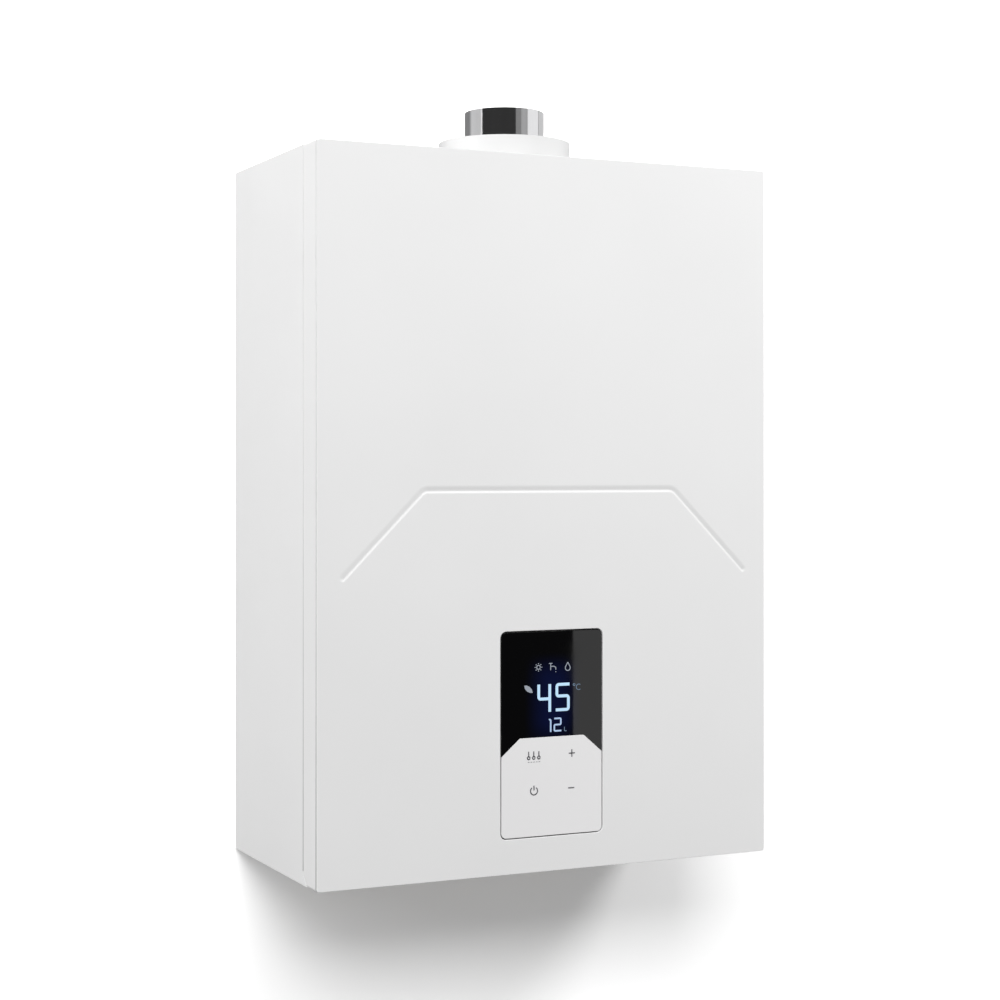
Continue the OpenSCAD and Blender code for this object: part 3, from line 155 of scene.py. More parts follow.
def powder_coat(tree, vector, scale):
    """The fine orange peel of baked enamel, with faint clouds."""
    cloud = noise(tree, vector, calc(tree, "MULTIPLY", scale, 0.012), 3.0)
    smear = noise(tree, vector, calc(tree, "MULTIPLY", scale, 0.05), 4.0)
    peel = noise(tree, vector, scale, 1.0)
    return cloud, ramp(tree, smear, 0.35, 0.7), peel


def rolled_sheet(tree, vector, scale):
    """Long rolling lines and handling marks on bare sheet."""
    lines = noise(tree, stretched(tree, vector, (1.0, 1.0, 0.03)), scale, 2.0)
    marks = noise(tree, vector, calc(tree, "MULTIPLY", scale, 0.06), 4.0)
    return calc(tree, "MULTIPLY_ADD", lines, 0.5, calc(tree, "MULTIPLY", marks, 0.5)), marks, lines


def zinc_spangle(tree, vector, scale):
    """The crystal flakes of zinc coated sheet."""
    cells = add(tree, "ShaderNodeTexVoronoi", {"Vector": vector, "Scale": scale})
    flake = add(tree, "ShaderNodeSeparateColor", {"Color": cells.outputs["Color"]})
    dull = noise(tree, vector, calc(tree, "MULTIPLY", scale, 0.2), 3.0)
    tone = calc(tree, "MULTIPLY_ADD", flake.outputs[0], 0.6, calc(tree, "MULTIPLY", dull, 0.4))
    return tone, flake.outputs[1], noise(tree, vector, calc(tree, "MULTIPLY", scale, 4.0))


def cast_grain(tree, vector, scale):
    """The sandy skin of a casting."""
    pits = add(tree, "ShaderNodeTexVoronoi", {"Vector": vector, "Scale": scale}).outputs["Distance"]
    stain = noise(tree, vector, calc(tree, "MULTIPLY", scale, 0.04), 4.0)
    return stain, ramp(tree, stain, 0.3, 0.7), calc(tree, "ADD", pits, noise(tree, vector, scale, 3.0))


def drawn_metal(tree, vector, scale):
    """Tarnish in clouds over faint drawing lines."""
    tarnish = noise(tree, vector, calc(tree, "MULTIPLY", scale, 0.03), 5.0)
    spots = noise(tree, vector, calc(tree, "MULTIPLY", scale, 0.25), 3.0)
    tone = calc(tree, "MULTIPLY_ADD", ramp(tree, tarnish, 0.3, 0.7), 0.7, calc(tree, "MULTIPLY", spots, 0.3))
    return tone, spots, noise(tree, stretched(tree, vector, (1.0, 0.15, 0.15)), scale)


def moulded_grain(tree, vector, scale):
    """The even grain of moulded plastic."""
    grain = noise(tree, vector, scale, 2.0)
    sheen = noise(tree, vector, calc(tree, "MULTIPLY", scale, 0.02), 3.0)
    return sheen, ramp(tree, sheen, 0.35, 0.65), grain


def foam_cells(tree, vector, scale):
    """Open cells of foam."""
    cells = add(tree, "ShaderNodeTexVoronoi", {"Vector": vector, "Scale": scale}).outputs["Distance"]
    return ramp(tree, cells, 0.1, 0.7), ramp(tree, cells, 0.2, 0.6), cells


def wound_wire(tree, vector, scale):
    """Turns of lacquered wire side by side."""
    turns = add(tree, "ShaderNodeTexWave", {"Vector": vector, "Scale": calc(tree, "MULTIPLY", scale, 0.314),
        "Distortion": 0.5}, bands_direction="X").outputs["Fac"]
    return turns, noise(tree, vector, scale), turns


def board_tracks(tree, vector, scale):
    """Tracks and pads under the lacquer of a circuit board."""
    lines = add(tree, "ShaderNodeTexBrick", {"Vector": vector, "Mortar Size": 0.06,
        "Color1": (0.0, 0.0, 0.0, 1.0), "Color2": (0.25, 0.25, 0.25, 1.0), "Mortar": (1.0, 1.0, 1.0, 1.0),
        "Scale": calc(tree, "MULTIPLY", scale, 0.3)})
    flat = add(tree, "ShaderNodeRGBToBW", {"Color": lines.outputs["Color"]}).outputs[0]
    return flat, noise(tree, vector, scale), flat


EFFECTS = (powder_coat, rolled_sheet, zinc_spangle, cast_grain, drawn_metal, moulded_grain, foam_cells,
    wound_wire, board_tracks)


def grey(level):
    """A colour without hue."""
    return (level,) * 3


# effect, size of its grain in mm, two colours, two roughnesses, height of the grain in mm, metal, coat
Finish = namedtuple("Finish", "effect size dark light rough height metal coat", defaults=(0.0, 0.0))
FINISHES = {
    "white_enamel": Finish("powder_coat", 1.4, grey(0.8), grey(0.84), (0.37, 0.4), 0.012, coat=0.25),
    "zinc_steel": Finish("zinc_spangle", 7.0, (0.46, 0.48, 0.5), (0.66, 0.68, 0.7), (0.3, 0.46), 0.01,
        metal=1.0),
    "chrome": Finish("rolled_sheet", 0.6, (0.72, 0.72, 0.73), (0.8, 0.8, 0.81), (0.05, 0.11), 0.001,
        metal=1.0),
    "cast_alloy": Finish("cast_grain", 0.9, (0.5, 0.51, 0.53), (0.68, 0.69, 0.7), (0.42, 0.58), 0.05,
        metal=1.0),
    "copper": Finish("drawn_metal", 0.8, (0.5, 0.22, 0.12), (0.83, 0.44, 0.28), (0.24, 0.42), 0.01,
        metal=1.0),
    "brass": Finish("drawn_metal", 0.5, (0.6, 0.43, 0.17), (0.8, 0.62, 0.28), (0.22, 0.34), 0.003,
        metal=1.0),
    "foam": Finish("foam_cells", 1.0, (0.035, 0.035, 0.038), (0.075, 0.075, 0.08), (0.85, 0.97), 0.25),
    "black_plastic": Finish("moulded_grain", 0.5, (0.018, 0.018, 0.02), (0.035, 0.035, 0.038),
        (0.42, 0.56), 0.02),
    "white_plastic": Finish("moulded_grain", 0.5, (0.66, 0.66, 0.65), (0.72, 0.72, 0.71), (0.36, 0.48),
        0.012),
    "circuit_board": Finish("board_tracks", 1.2, (0.02, 0.13, 0.06), (0.1, 0.32, 0.14), (0.25, 0.4),
        0.03, coat=0.4),
    "coil_wire": Finish("wound_wire", 1.3, (0.1, 0.03, 0.01), (0.62, 0.26, 0.1), (0.25, 0.4), 0.4, coat=0.3),
    "ceramic": Finish("cast_grain", 0.7, (0.72, 0.7, 0.64), (0.82, 0.8, 0.76), (0.3, 0.5), 0.01, coat=0.2),
    "silicone": Finish("moulded_grain", 0.8, (0.34, 0.045, 0.03), (0.46, 0.07, 0.045), (0.4, 0.52), 0.01),
    "key_plate": Finish("powder_coat", 1.0, (0.83, 0.825, 0.83), (0.85, 0.845, 0.85), (0.25, 0.27), 0.004,
        coat=0.2),
    "collar_coat": Finish("powder_coat", 1.2, grey(0.68), grey(0.72), (0.38, 0.46), 0.015, coat=0.1),
    # painted shade: the dark tone of the beads that darken the joints
    "joint_rubber": Finish("moulded_grain", 0.6, grey(0.02), grey(0.04), (0.7, 0.85), 0.02),
    "printed_grey": Finish("moulded_grain", 0.4, (0.1, 0.1, 0.11), (0.14, 0.14, 0.15), (0.4, 0.55), 0.002),
    "motor_steel": Finish("rolled_sheet", 0.35, (0.3, 0.31, 0.33), (0.48, 0.49, 0.51), (0.32, 0.5), 0.03,
        metal=1.0),
    "screw_steel": Finish("drawn_metal", 0.5, (0.42, 0.43, 0.45), (0.62, 0.63, 0.65), (0.22, 0.36), 0.004,
        metal=1.0),
}

# nodes whose finish is finer than their record slot's
FINISH_OF_NODE = {"key_plate": "key_plate", "air_collar": "collar_coat", "fan_motor": "motor_steel",
    "motor_bridges": "motor_steel"}


def emptied_tree(owner):
    """The emptied node tree of a material or a world."""
    owner.use_nodes = True
    owner.node_tree.nodes.clear()
    return owner.node_tree


def empty_material(name):
    """A material with an empty tree, and its coordinates."""
    material = bpy.data.materials.new(name)
    tree = emptied_tree(material)
    return material, tree, add(tree, "ShaderNodeTexCoord").outputs["Object"]


def tint(tree, factor, dark, light):
    """A colour between two, which are colours or sockets, by a factor."""
    made = add(tree, "ShaderNodeMix", data_type="RGBA", clamp_factor=True)
    connect(tree, factor, made.inputs[0])
    for value, socket in ((dark, made.inputs[6]), (light, made.inputs[7])):
        connect(tree, value if isinstance(value, bpy.types.NodeSocket) else (*value, 1.0), socket)
    return made.outputs[2]


def painted(name, look):
    """Makes a material of a look; returns its tree, its shader, its coordinates and its effect's tone."""
    tree, coords = empty_material("heater_" + name)[1:]
    made = add(tree, "ShaderNodeGroup", {"Vector": coords, "Size": look.size * MM},
        node_tree=bpy.data.node_groups[look.effect])
    bump = add(tree, "ShaderNodeBump", {"Height": made.outputs["Height"], "Distance": look.height * MM})
    shader = add(tree, "ShaderNodeBsdfPrincipled", {"Normal": bump, "Metallic": look.metal,
        "Base Color": tint(tree, made.outputs["Tone"], look.dark, look.light),
        "Roughness": ramp(tree, made.outputs["Gloss"], 0.0, 1.0, *look.rough),
        "Coat Weight": look.coat, "Coat Roughness": 0.2})
    add(tree, "ShaderNodeOutputMaterial", {"Surface": shader})
    return tree, shader, coords, made.outputs["Tone"]


def box_mask(tree, coords, centre, half, soft):
    """1 inside an upright box seen from the front, falling to 0 over a soft edge."""
    axes = add(tree, "ShaderNodeSeparateXYZ", {"Vector": coords})
    masks = []
    for axis, middle, reach in zip((0, 2), centre, half):
        off = calc(tree, "ABSOLUTE", calc(tree, "SUBTRACT", axes.outputs[axis], middle))
        masks.append(ramp(tree, off, reach - soft, reach + soft, 1.0, 0.0))
    return calc(tree, "MULTIPLY", *masks)


def make_display_glass():
    """Black glass over a lit display: a blue glow lies round the figures."""
    tree, shader, coords, _ = painted("black_glass", Finish("powder_coat", 3.0,
        (0.0012, 0.0012, 0.0014), (0.0022, 0.0022, 0.0025), (0.015, 0.035), 0.0005))
    display = bpy.context.scene.heater_display
    middle = PANEL_MID + Vector((1.0 * MM, display.glow_up))
    glow = box_mask(tree, coords, middle, (14 * MM, 25 * MM), 11 * MM)
    connect(tree, tint(tree, glow, grey(0.0), display.glow_colour), shader.inputs["Emission Color"])
    shader.inputs["Emission Strength"].default_value = 1.0
    shader.inputs["IOR"].default_value = 1.5


def make_lit(name, colour, strength):
    """Lit figures, a little uneven in brightness."""
    tree, shader, _, tone = painted(name, Finish("moulded_grain", 0.7, (0.02, 0.03, 0.05),
        (0.03, 0.05, 0.08), (0.3, 0.4), 0.001))
    dim = tuple(0.8 * c for c in colour)
    connect(tree, tint(tree, tone, dim, colour), shader.inputs["Emission Color"])
    shader.inputs["Emission Strength"].default_value = strength


def finish(name):
    """The material of that name."""
    return bpy.data.materials["heater_" + name]


# Meshes

def in_scene(name, data):
    """A new object in the scene."""
    obj = bpy.data.objects.new(name, data)
    bpy.context.scene.collection.objects.link(obj)
    return obj


def place(name, mesh, body, material=None, smooth=True):
    """A new piece at the origin that rides on a body."""
    obj = in_scene(name, mesh)
    if material is not None:
        mesh.materials.clear()
        mesh.materials.append(material)
    if smooth:
        mesh.polygons.foreach_set("use_smooth", [True] * len(mesh.polygons))
    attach(obj, body)
    return obj


def baked(obj):
    """The object, with its modifiers applied and taken off."""
    graph = bpy.context.evaluated_depsgraph_get()
    mesh = bpy.data.meshes.new_from_object(obj.evaluated_get(graph))
    mesh.name = obj.name
    obj.modifiers.clear()
    obj.data = mesh
    return obj


def shade(obj, width=0.0, segments=2, angle=35.0):
    """Evens the normals of a piece, and rounds its sharp edges where a width is given."""
    if width:
        bevel = obj.modifiers.new("Edges", "BEVEL")
        bevel.width = width
        bevel.segments = segments
        bevel.limit_method = "ANGLE"
        bevel.angle_limit = math.radians(angle)
        bevel.use_clamp_overlap = False
    else:
        obj.data.set_sharp_from_angle(angle=math.radians(angle))
    weighted = obj.modifiers.new("Normals", "WEIGHTED_NORMAL")
    weighted.keep_sharp = True
    weighted.weight = 50
    return baked(obj)


def mesh_from(bm, name, recalc=True):
    """A mesh from a bmesh, with its faces turned outwards where asked."""
    if recalc:
        bmesh.ops.recalc_face_normals(bm, faces=bm.faces)
    mesh = bpy.data.meshes.new(name)
    bm.to_mesh(mesh)
    bm.free()
    return mesh


def merged_copy(node):
    """A bmesh of a node with its corners merged."""
    bm = bmesh.new()
    bm.from_mesh(frame["nodes"][node].data)
    bmesh.ops.remove_doubles(bm, verts=bm.verts, dist=2e-6)
    return bm


def soften(node, width, change=None):
    """Replaces a node with a copy whose flat faces are whole and whose edges are rounded."""
    bm = merged_copy(node)
    bmesh.ops.dissolve_limit(bm, angle_limit=math.radians(0.4), verts=bm.verts, edges=bm.edges)
    if change:
        change(bm)
    slot = SLOT_OF[node]
    obj = place(node + "_finished", mesh_from(bm, node, recalc=False), BODY_OF[node],
        finish(FINISH_OF_NODE.get(node, slot)))
    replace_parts(shade(obj, width * MM), node)


def rounded_loop(width, height, radius, middle=(0.0, 0.0), steps=6):
    """The points of a rounded rectangle, anticlockwise seen from the front."""
    points = []
    for quarter, (sx, sz) in enumerate(((1, 1), (-1, 1), (-1, -1), (1, -1))):
        for i in range(steps + 1):
            a = math.pi / 2 * (quarter + i / steps)
            points.append((middle[0] + sx * (width / 2 - radius) + radius * math.cos(a),
                middle[1] + sz * (height / 2 - radius) + radius * math.sin(a)))
    return points


def loop_at(bm, points, y):
    """Vertices of an outline at a depth."""
    return [bm.verts.new((x, y, z)) for x, z in points]


def strips(bm, loops, closed=True):
    """Joins each loop, or each open row, to the next."""
    for a, b in zip(loops, loops[1:]):
        for i in range(len(a) if closed else len(a) - 1):
            j = (i + 1) % len(a)
            bm.faces.new((a[i], a[j], b[j], b[i]))


def fill(bm, loops):
    """One flat face region between an outer loop and the loops inside it."""
    edges = []
    for loop in loops:
        for a, b in zip(loop, loop[1:] + loop[:1]):
            edges.append(bm.edges.get((a, b)) or bm.edges.new((a, b)))
    bmesh.ops.triangle_fill(bm, use_beauty=True, use_dissolve=False, edges=edges, normal=(0.0, -1.0, 0.0))


# Front sheet

# height at which the dark bead of painted shade between cover and case ends, at both sides
FOOT_OF_ARCH = -254.5 * MM


def groove_stations(sheet, steps=10):
    """Points and directions along the middle of the groove, from left to right."""
    bend = sheet.groove_bend
    level = sheet.groove_half - bend * math.tan(math.radians(22.5))
    half = []
    for i in range(steps + 1):
        a = math.radians(90 - 45 * i / steps)
        half.append((Vector((level + bend * math.cos(a), sheet.groove_up - bend + bend * math.sin(a))),
            Vector((math.sin(a), -math.cos(a)))))
    point, along = half[-1]
    slant = (sheet.groove_reach - point.x) * math.sqrt(2)
    half.append((point + along * slant, along))
    mirrored = [(Vector((-p.x, p.y)), Vector((t.x, -t.y))) for p, t in reversed(half)]
    return mirrored + half


def press_groove(bm, stations, above, below, y, steps=12):
    """Sweeps a cross-section, given as its two halves, along the stations; returns the groove's outline."""
    last = len(above) - 1

    def corner(point, side, k, share):
        off, deep = (a * share + b * (1 - share) for a, b in zip(above[k], below[k]))
        spot = point + side * off * MM
        return bm.verts.new((spot.x, y + deep * MM, spot.y))

    rows = []
    for point, along in stations:
        side = Vector((-along.y, along.x))
        rows.append([corner(point, side if k >= 0 else -side, abs(k), float(k >= 0))
            for k in range(-last, last + 1)])
    for a, b in zip(rows, rows[1:]):
        for k in range(2 * last):
            bm.faces.new((a[k], b[k], b[k + 1], a[k + 1]))
    ends = []
    for row, (point, along), turn in ((rows[-1], stations[-1], 1), (rows[0], stations[0], -1)):
        side = Vector((-along.y, along.x))
        up, down = row[last:], row[last::-1]
        spokes = [up if turn > 0 else down]
        for i in range(1, steps):
            a = math.pi * i / steps
            towards = (side * math.cos(a) + along * math.sin(a)) * turn
            share = (1 + turn * math.cos(a)) / 2
            spokes.append([row[last]] + [corner(point, towards, k, share) for k in range(1, last + 1)])
        spokes.append(down if turn > 0 else up)
        for a, b in zip(spokes, spokes[1:]):
            bm.faces.new((a[0], a[1], b[1]))
            for k in range(1, last):
                bm.faces.new((a[k], a[k + 1], b[k + 1], b[k]))
        ends.append([spoke[-1] for spoke in spokes[1:-1]])
    return [r[-1] for r in rows] + ends[0] + [r[0] for r in reversed(rows)] + ends[1]


def rolled(radius, steps=5):
    """Insets and depths along the quarter turn of a folded edge."""
    turns = [math.pi / 2 * i / steps for i in range(steps + 1)]
    return [(radius * (1 - math.sin(a)), radius * (1 - math.cos(a))) for a in turns]


def front_sheet_mesh(sheet):
    """The pressed front sheet: folded edges, a soft groove and a rolled window rim."""
    low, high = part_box("front_panel")
    width, height = high.x - low.x, high.z - low.z
    middle = ((low.x + high.x) / 2, (low.z + high.z) / 2)
    thick, fold, hem, corner = 1.0 * MM, sheet.fold_radius, sheet.hem_width, 2.0 * MM
    back, hem_back = FRONT + thick, FRONT + sheet.hem_thick
    bm = bmesh.new()
    outer = [loop_at(bm, rounded_loop(width - 2 * inset, height - 2 * inset, corner - inset, middle),
        FRONT + depth) for inset, depth in rolled(fold)]
    outer.append(loop_at(bm, rounded_loop(width, height, corner, middle), hem_back))
    for y in (hem_back, back):
        outer.append(loop_at(bm, rounded_loop(width - 2 * hem, height - 2 * hem, 0.4 * MM, middle), y))
    strips(bm, outer)
    size = PANEL_HIGH - PANEL_LOW
    gap, lip, rim, radius = 0.9 * MM, 0.5 * MM, 6 * MM, 4 * MM
    window = [(gap + inset, FRONT + depth) for inset, depth in rolled(lip)]
    window += [(gap, FRONT + rim), (gap + thick, FRONT + rim), (gap + thick, back)]
    loops = [loop_at(bm, rounded_loop(size.x + 2 * g, size.y + 2 * g, radius + g, PANEL_MID), y)
        for g, y in window]
    strips(bm, loops)
    stations = groove_stations(sheet)
    groove = press_groove(bm, stations,
        ((0, 0.72), (0.5, 0.67), (1.2, 0.5), (2.0, 0.29), (2.8, 0.12), (3.5, 0.03), (4.1, 0.0)),
        ((0, 0.72), (0.3, 0.7), (0.75, 0.55), (1.2, 0.27), (1.6, 0.09), (2.0, 0.02), (2.4, 0.0)), FRONT)
    rib_half = ((0, 1.2), (1.7, 1.2), (2.4, 0.9), (3.1, 0.2), (3.5, 0.0))
    rib = press_groove(bm, stations, rib_half, rib_half, back)
    fill(bm, [outer[0], groove, loops[0]])
    fill(bm, [outer[-1], rib, loops[-1]])
    return mesh_from(bm, "front_sheet")


def leaning(points, low, high, extra):
    """An outline drawn in sideways by more and more towards its top."""
    return [(x - math.copysign(extra * (z - low) / (high - low), x), z) for x, z in points]


def joint_ring(name, body, span, reach, arch=False):
    """A dark bead in a joint, painted shade where the gap would lie in shadow: between two depths and two
    insets, all round or round the arch.
    """
    low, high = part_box("front_panel")
    width, height = high.x - low.x, high.z - low.z
    corner, sharpest, shade_fade_lean = 2 * MM, 0.5 * MM, 0.55 * MM
    bm = bmesh.new()
    loops = []
    for inset, y in ((reach[0], span[0]), (reach[0], span[1]), (reach[1], span[1]), (reach[1], span[0])):
        points = rounded_loop(width - 2 * inset, height - 2 * inset, max(corner - inset, sharpest))
        if arch:
            points = arch_of(points)
        # painted shade: the bead's outer edge leans back towards the top, so the dark line fades upwards
        if inset == reach[0]:
            points = leaning(points, low.z, high.z, shade_fade_lean)
        loops.append(loop_at(bm, points, y))
    strips(bm, [*loops, loops[0]], closed=not arch)
    if arch:
        for end in (0, -1):
            bm.faces.new([loop[end] for loop in loops])
    place(name, mesh_from(bm, name), body, finish("joint_rubber"), smooth=False)


def arch_of(points):
    """The part of an outline that goes up one side, across the top and down the other."""
    top = points[:len(points) // 2]
    return [(top[0][0], FOOT_OF_ARCH), *top, (top[-1][0], FOOT_OF_ARCH)]


# Geometry node trees

def pattern_tree(name, inputs):
    """A Geometry Nodes tree with named inputs; returns it with its input sockets and its end node."""
    return node_group(name, "GeometryNodeTree", (("Geometry", "Geometry", None), *inputs,
        ("Material", "Material", None)), [("Geometry", "Geometry")])


def end_tree(tree, given, end, geometry):
    """Ends a tree in Realize Instances and Set Material."""
    real = add(tree, "GeometryNodeRealizeInstances", {"Geometry": geometry})
    coated = add(tree, "GeometryNodeSetMaterial", {"Geometry": real, "Material": given["Material"]})
    connect(tree, coated, end.inputs[0])
    return tree


def strokes_tree():
    """Printed strokes: paths drawn flat, rounded at their bends, given a width and stood upright."""
    tree, given, end = pattern_tree("printed_strokes", (("Width", "Float", MM), ("Thickness", "Float", MM),
        ("Bend Radius", "Float", MM), ("Place", "Vector", None)))
    paths = add(tree, "GeometryNodeMeshToCurve", {"Mesh": given["Geometry"]})
    upright = add(tree, "GeometryNodeSetCurveNormal", {"Curve": paths}, mode="Z_UP")
    soft = add(tree, "GeometryNodeFilletCurve", {"Curve": upright, "Count": 5,
        "Radius": given["Bend Radius"], "Limit Radius": True}, mode="POLY")
    bar = add(tree, "GeometryNodeCurvePrimitiveQuadrilateral", {"Width": given["Width"],
        "Height": given["Thickness"]})
    swept = add(tree, "GeometryNodeCurveToMesh", {"Curve": soft, "Profile Curve": bar, "Fill Caps": True})
    stood = add(tree, "GeometryNodeTransform", {"Geometry": swept, "Translation": given["Place"],
        "Rotation": (math.pi / 2, 0.0, 0.0)})
    return end_tree(tree, given, end, stood)


def screws_tree():
    """Screws on points: a head, a shank of a length, all along one axis, each turned at random."""
    tree, given, end = pattern_tree("screws_on_points", (("Head", "Object", None),
        ("Shank Radius", "Float", MM), ("Shank Length", "Float", MM), ("Axis", "Vector", (0.0, 0.0, 1.0)),
        ("Seed", "Int", 3)))
    head = add(tree, "GeometryNodeObjectInfo", {"Object": given["Head"]})
    shank = add(tree, "GeometryNodeMeshCylinder", {"Vertices": 16, "Radius": given["Shank Radius"],
        "Depth": given["Shank Length"]})
    down = add(tree, "ShaderNodeCombineXYZ", {"Z": calc(tree, "MULTIPLY", given["Shank Length"], -0.5)})
    sunk = add(tree, "GeometryNodeTransform", {"Geometry": shank, "Translation": down})
    whole = add(tree, "GeometryNodeJoinGeometry")
    for part in (sunk, head.outputs["Geometry"]):
        connect(tree, part, whole.inputs[0])
    points = add(tree, "GeometryNodeMeshToPoints", {"Mesh": given["Geometry"]})
    turn = add(tree, "FunctionNodeRandomValue", {"Seed": given["Seed"]}, data_type="FLOAT")
    turn.inputs[2].default_value, turn.inputs[3].default_value = 0.0, math.pi
    spin = add(tree, "ShaderNodeCombineXYZ", {"Z": turn.outputs[1]})
    aim = add(tree, "FunctionNodeAlignRotationToVector", {"Vector": given["Axis"]}, axis="Z")
    placed = add(tree, "GeometryNodeInstanceOnPoints", {"Points": points, "Instance": whole,
        "Rotation": aim})
    spun = add(tree, "GeometryNodeRotateInstances", {"Instances": placed, "Rotation": spin,
        "Local Space": True})
    return end_tree(tree, given, end, spun)


def thread_tree():
    """Turns of a pipe thread on points, from each point upwards."""
    tree, given, end = pattern_tree("pipe_threads", (("Radius", "Float", MM), ("Depth", "Float", MM),
        ("Pitch", "Float", MM), ("Turns", "Float", 8.0)))
    middle = calc(tree, "SUBTRACT", given["Radius"], given["Depth"])
    rise = calc(tree, "MULTIPLY", given["Pitch"], given["Turns"])
    helix = add(tree, "GeometryNodeCurveSpiral", {"Resolution": 40, "Rotations": given["Turns"],
        "Start Radius": middle, "End Radius": middle, "Height": rise})
    ridge = add(tree, "GeometryNodeCurvePrimitiveCircle", {"Resolution": 4, "Radius": given["Depth"]})
    swept = add(tree, "GeometryNodeCurveToMesh", {"Curve": helix, "Profile Curve": ridge, "Fill Caps": True})
    points = add(tree, "GeometryNodeMeshToPoints", {"Mesh": given["Geometry"]})
    placed = add(tree, "GeometryNodeInstanceOnPoints", {"Points": points, "Instance": swept})
    return end_tree(tree, given, end, placed)


def path_mesh(name, paths):
    """A mesh of paths, where a path of one point is a loose point."""
    mesh = bpy.data.meshes.new(name)
    points, edges = [], []
    for path in paths:
        edges += [(i, i + 1) for i in range(len(points), len(points) + len(path) - 1)]
        points += [tuple(p) for p in path]
    mesh.from_pydata(points, edges, [])
    return mesh


def grow(name, tree, mesh, values, body):
    """Runs a tree on a mesh and leaves a plain piece."""
    obj = in_scene(name, mesh)
    pattern = obj.modifiers.new("Pattern", "NODES")
    pattern.node_group = tree
    for item in tree.interface.items_tree:
        if item.in_out == "INPUT" and item.name in values:
            pattern[item.identifier] = values[item.name]
    baked(obj)
    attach(obj, body)
    return obj


# Control panel marks

def around(x, y, radius, degrees):
    """The point at a radius and an angle from another."""
    return x + radius * math.cos(math.radians(degrees)), y + radius * math.sin(math.radians(degrees))


def arc(x, y, radius, start, end, steps=14):
    """The points of an arc, in degrees."""
    return [around(x, y, radius, start + (end - start) * i / steps) for i in range(steps + 1)]


# height above the panel's foot that the marks are measured from, and their paths in mm
MARKS_UP = 45.2 * MM
BIG_FIGURES = [[(-11.1, 66.7), (-11.1, 55.9), (-2.0, 55.9)], [(-2.0, 66.7), (-2.0, 46.2)],
    [(14.4, 66.1), (3.9, 66.1), (3.9, 57.5), (13.5, 57.5), (13.5, 47.3), (3.0, 47.3)]]
SMALL_FIGURES = [[(-2.6, 40.2), (-1.2, 41.4), (-1.2, 31.2)],
    [(1.8, 41.0), (7.2, 41.0), (7.2, 36.4), (1.8, 36.4), (1.8, 31.8), (7.6, 31.8)]]
UNIT_MARKS = [[(10.2, 34.4), (10.2, 31.4), (12.0, 31.4)], arc(18.3, 65.4, 0.8, 0, 350, 10),
    arc(22.2, 63.6, 2.1, 50, 310)]
SUN = [arc(-11.3, 79.5, 1.5, 0, 350)]
SUN += [[around(-11.3, 79.5, radius, degrees) for radius in (2.3, 3.1)] for degrees in range(0, 360, 45)]
TAP = [[(-1.2, 77.0), (-1.2, 81.8)], [(-1.2, 79.8), (1.6, 79.8), (3.0, 78.9), (3.0, 77.2)],
    [(-2.6, 82.0), (0.2, 82.0)], [(3.0, 76.0), (3.0, 75.4)]]
DROP = [[(13.0, 82.4), (11.2, 79.2)] + arc(13.0, 78.2, 2.05, 152, 388, 12) + [(14.8, 79.2), (13.0, 82.4)]]
BARS_AT = (-19.4, -15.2, -11.0)
KEY_BARS = [[(x, 13.4), (x, 17.6)] for x in BARS_AT] + [arc(x, 12.9, 1.1, 0, 350, 10) for x in BARS_AT]
KEY_DASHES = [[(x, 9.8), (x + 1.3, 9.8)] for x in (-20.0, -17.8, -15.6, -13.4, -11.2)]
PLUS = [[(13.9, 14.6), (18.9, 14.6)], [(16.4, 11.8), (16.4, 17.4)]]
MINUS = [[(13.4, -11.2), (18.4, -11.2)]]
POWER = [arc(-15.0, -11.6, 2.9, 125, 415, 20), [(-15.0, -11.2), (-15.0, -7.6)]]
LEAF = [(-23.0, 66.4), (-21.2, 66.6), (-18.6, 65.4), (-16.8, 63.4), (-16.0, 60.8), (-18.2, 61.0),
    (-20.6, 62.0), (-22.4, 64.0)]

# name, finish, stroke width and bend radius in mm, paths
MARKS = (
    ("figures_large", "lit_blue", 2.2, 1.6, BIG_FIGURES),
    ("figures_small", "lit_deep", 1.2, 0.9, SMALL_FIGURES),
    ("unit_marks", "lit_dim", 0.5, 0.3, UNIT_MARKS),
    ("state_icons", "lit_white", 0.62, 0.3, SUN + TAP + DROP),
    ("key_icons", "printed_grey", 0.85, 0.2, PLUS + MINUS + POWER + KEY_BARS),
    ("key_dashes", "printed_grey", 0.35, 0.1, KEY_DASHES),
)


# Settings

def amount(name, description, default, **kind):
    """A setting that is a number."""
    return FloatProperty(name=name, description=description, default=default, **kind)


def distance(name, description, default):
    """A setting that is a length, with its default in mm."""
    return amount(name, description, default * MM, subtype="DISTANCE", unit="LENGTH")


class HeaterSheet(bpy.types.PropertyGroup):
    """Sizes of the pressed front sheet."""
    fold_radius: distance("Fold Radius", "Outer radius of the sheet's folds", 0.3)
    hem_thick: distance("Hem Thickness", "Thickness of the folded hem", 1.15)
    hem_width: distance("Hem Width", "Width of the hem behind the edge", 14)
    groove_up: distance("Groove Height", "Height of the groove's level run", 17)
    groove_half: distance("Groove Half Width", "Half the level run, bends included", 103)
    groove_reach: distance("Groove Reach", "From the middle to the groove's ends", 165)
    groove_bend: distance("Groove Bend", "Radius of the groove's bends", 9)


class HeaterDisplay(bpy.types.PropertyGroup):
    """The lit display."""
    glow_colour: FloatVectorProperty(name="Glow Colour", description="Light in the glass round the figures",
        default=(0.001, 0.003, 0.026), subtype="COLOR", min=0.0, max=1.0)
    figure_colour: FloatVectorProperty(name="Figure Colour", description="Colour of the large figures",
        default=(0.55, 0.80, 1.0), subtype="COLOR", min=0.0, max=1.0)
    glow_up: distance("Glow Height", "Height of the glow's middle above the panel's", 25)
    mark_thickness: distance("Mark Thickness", "Thickness of printed and lit marks", 0.2)


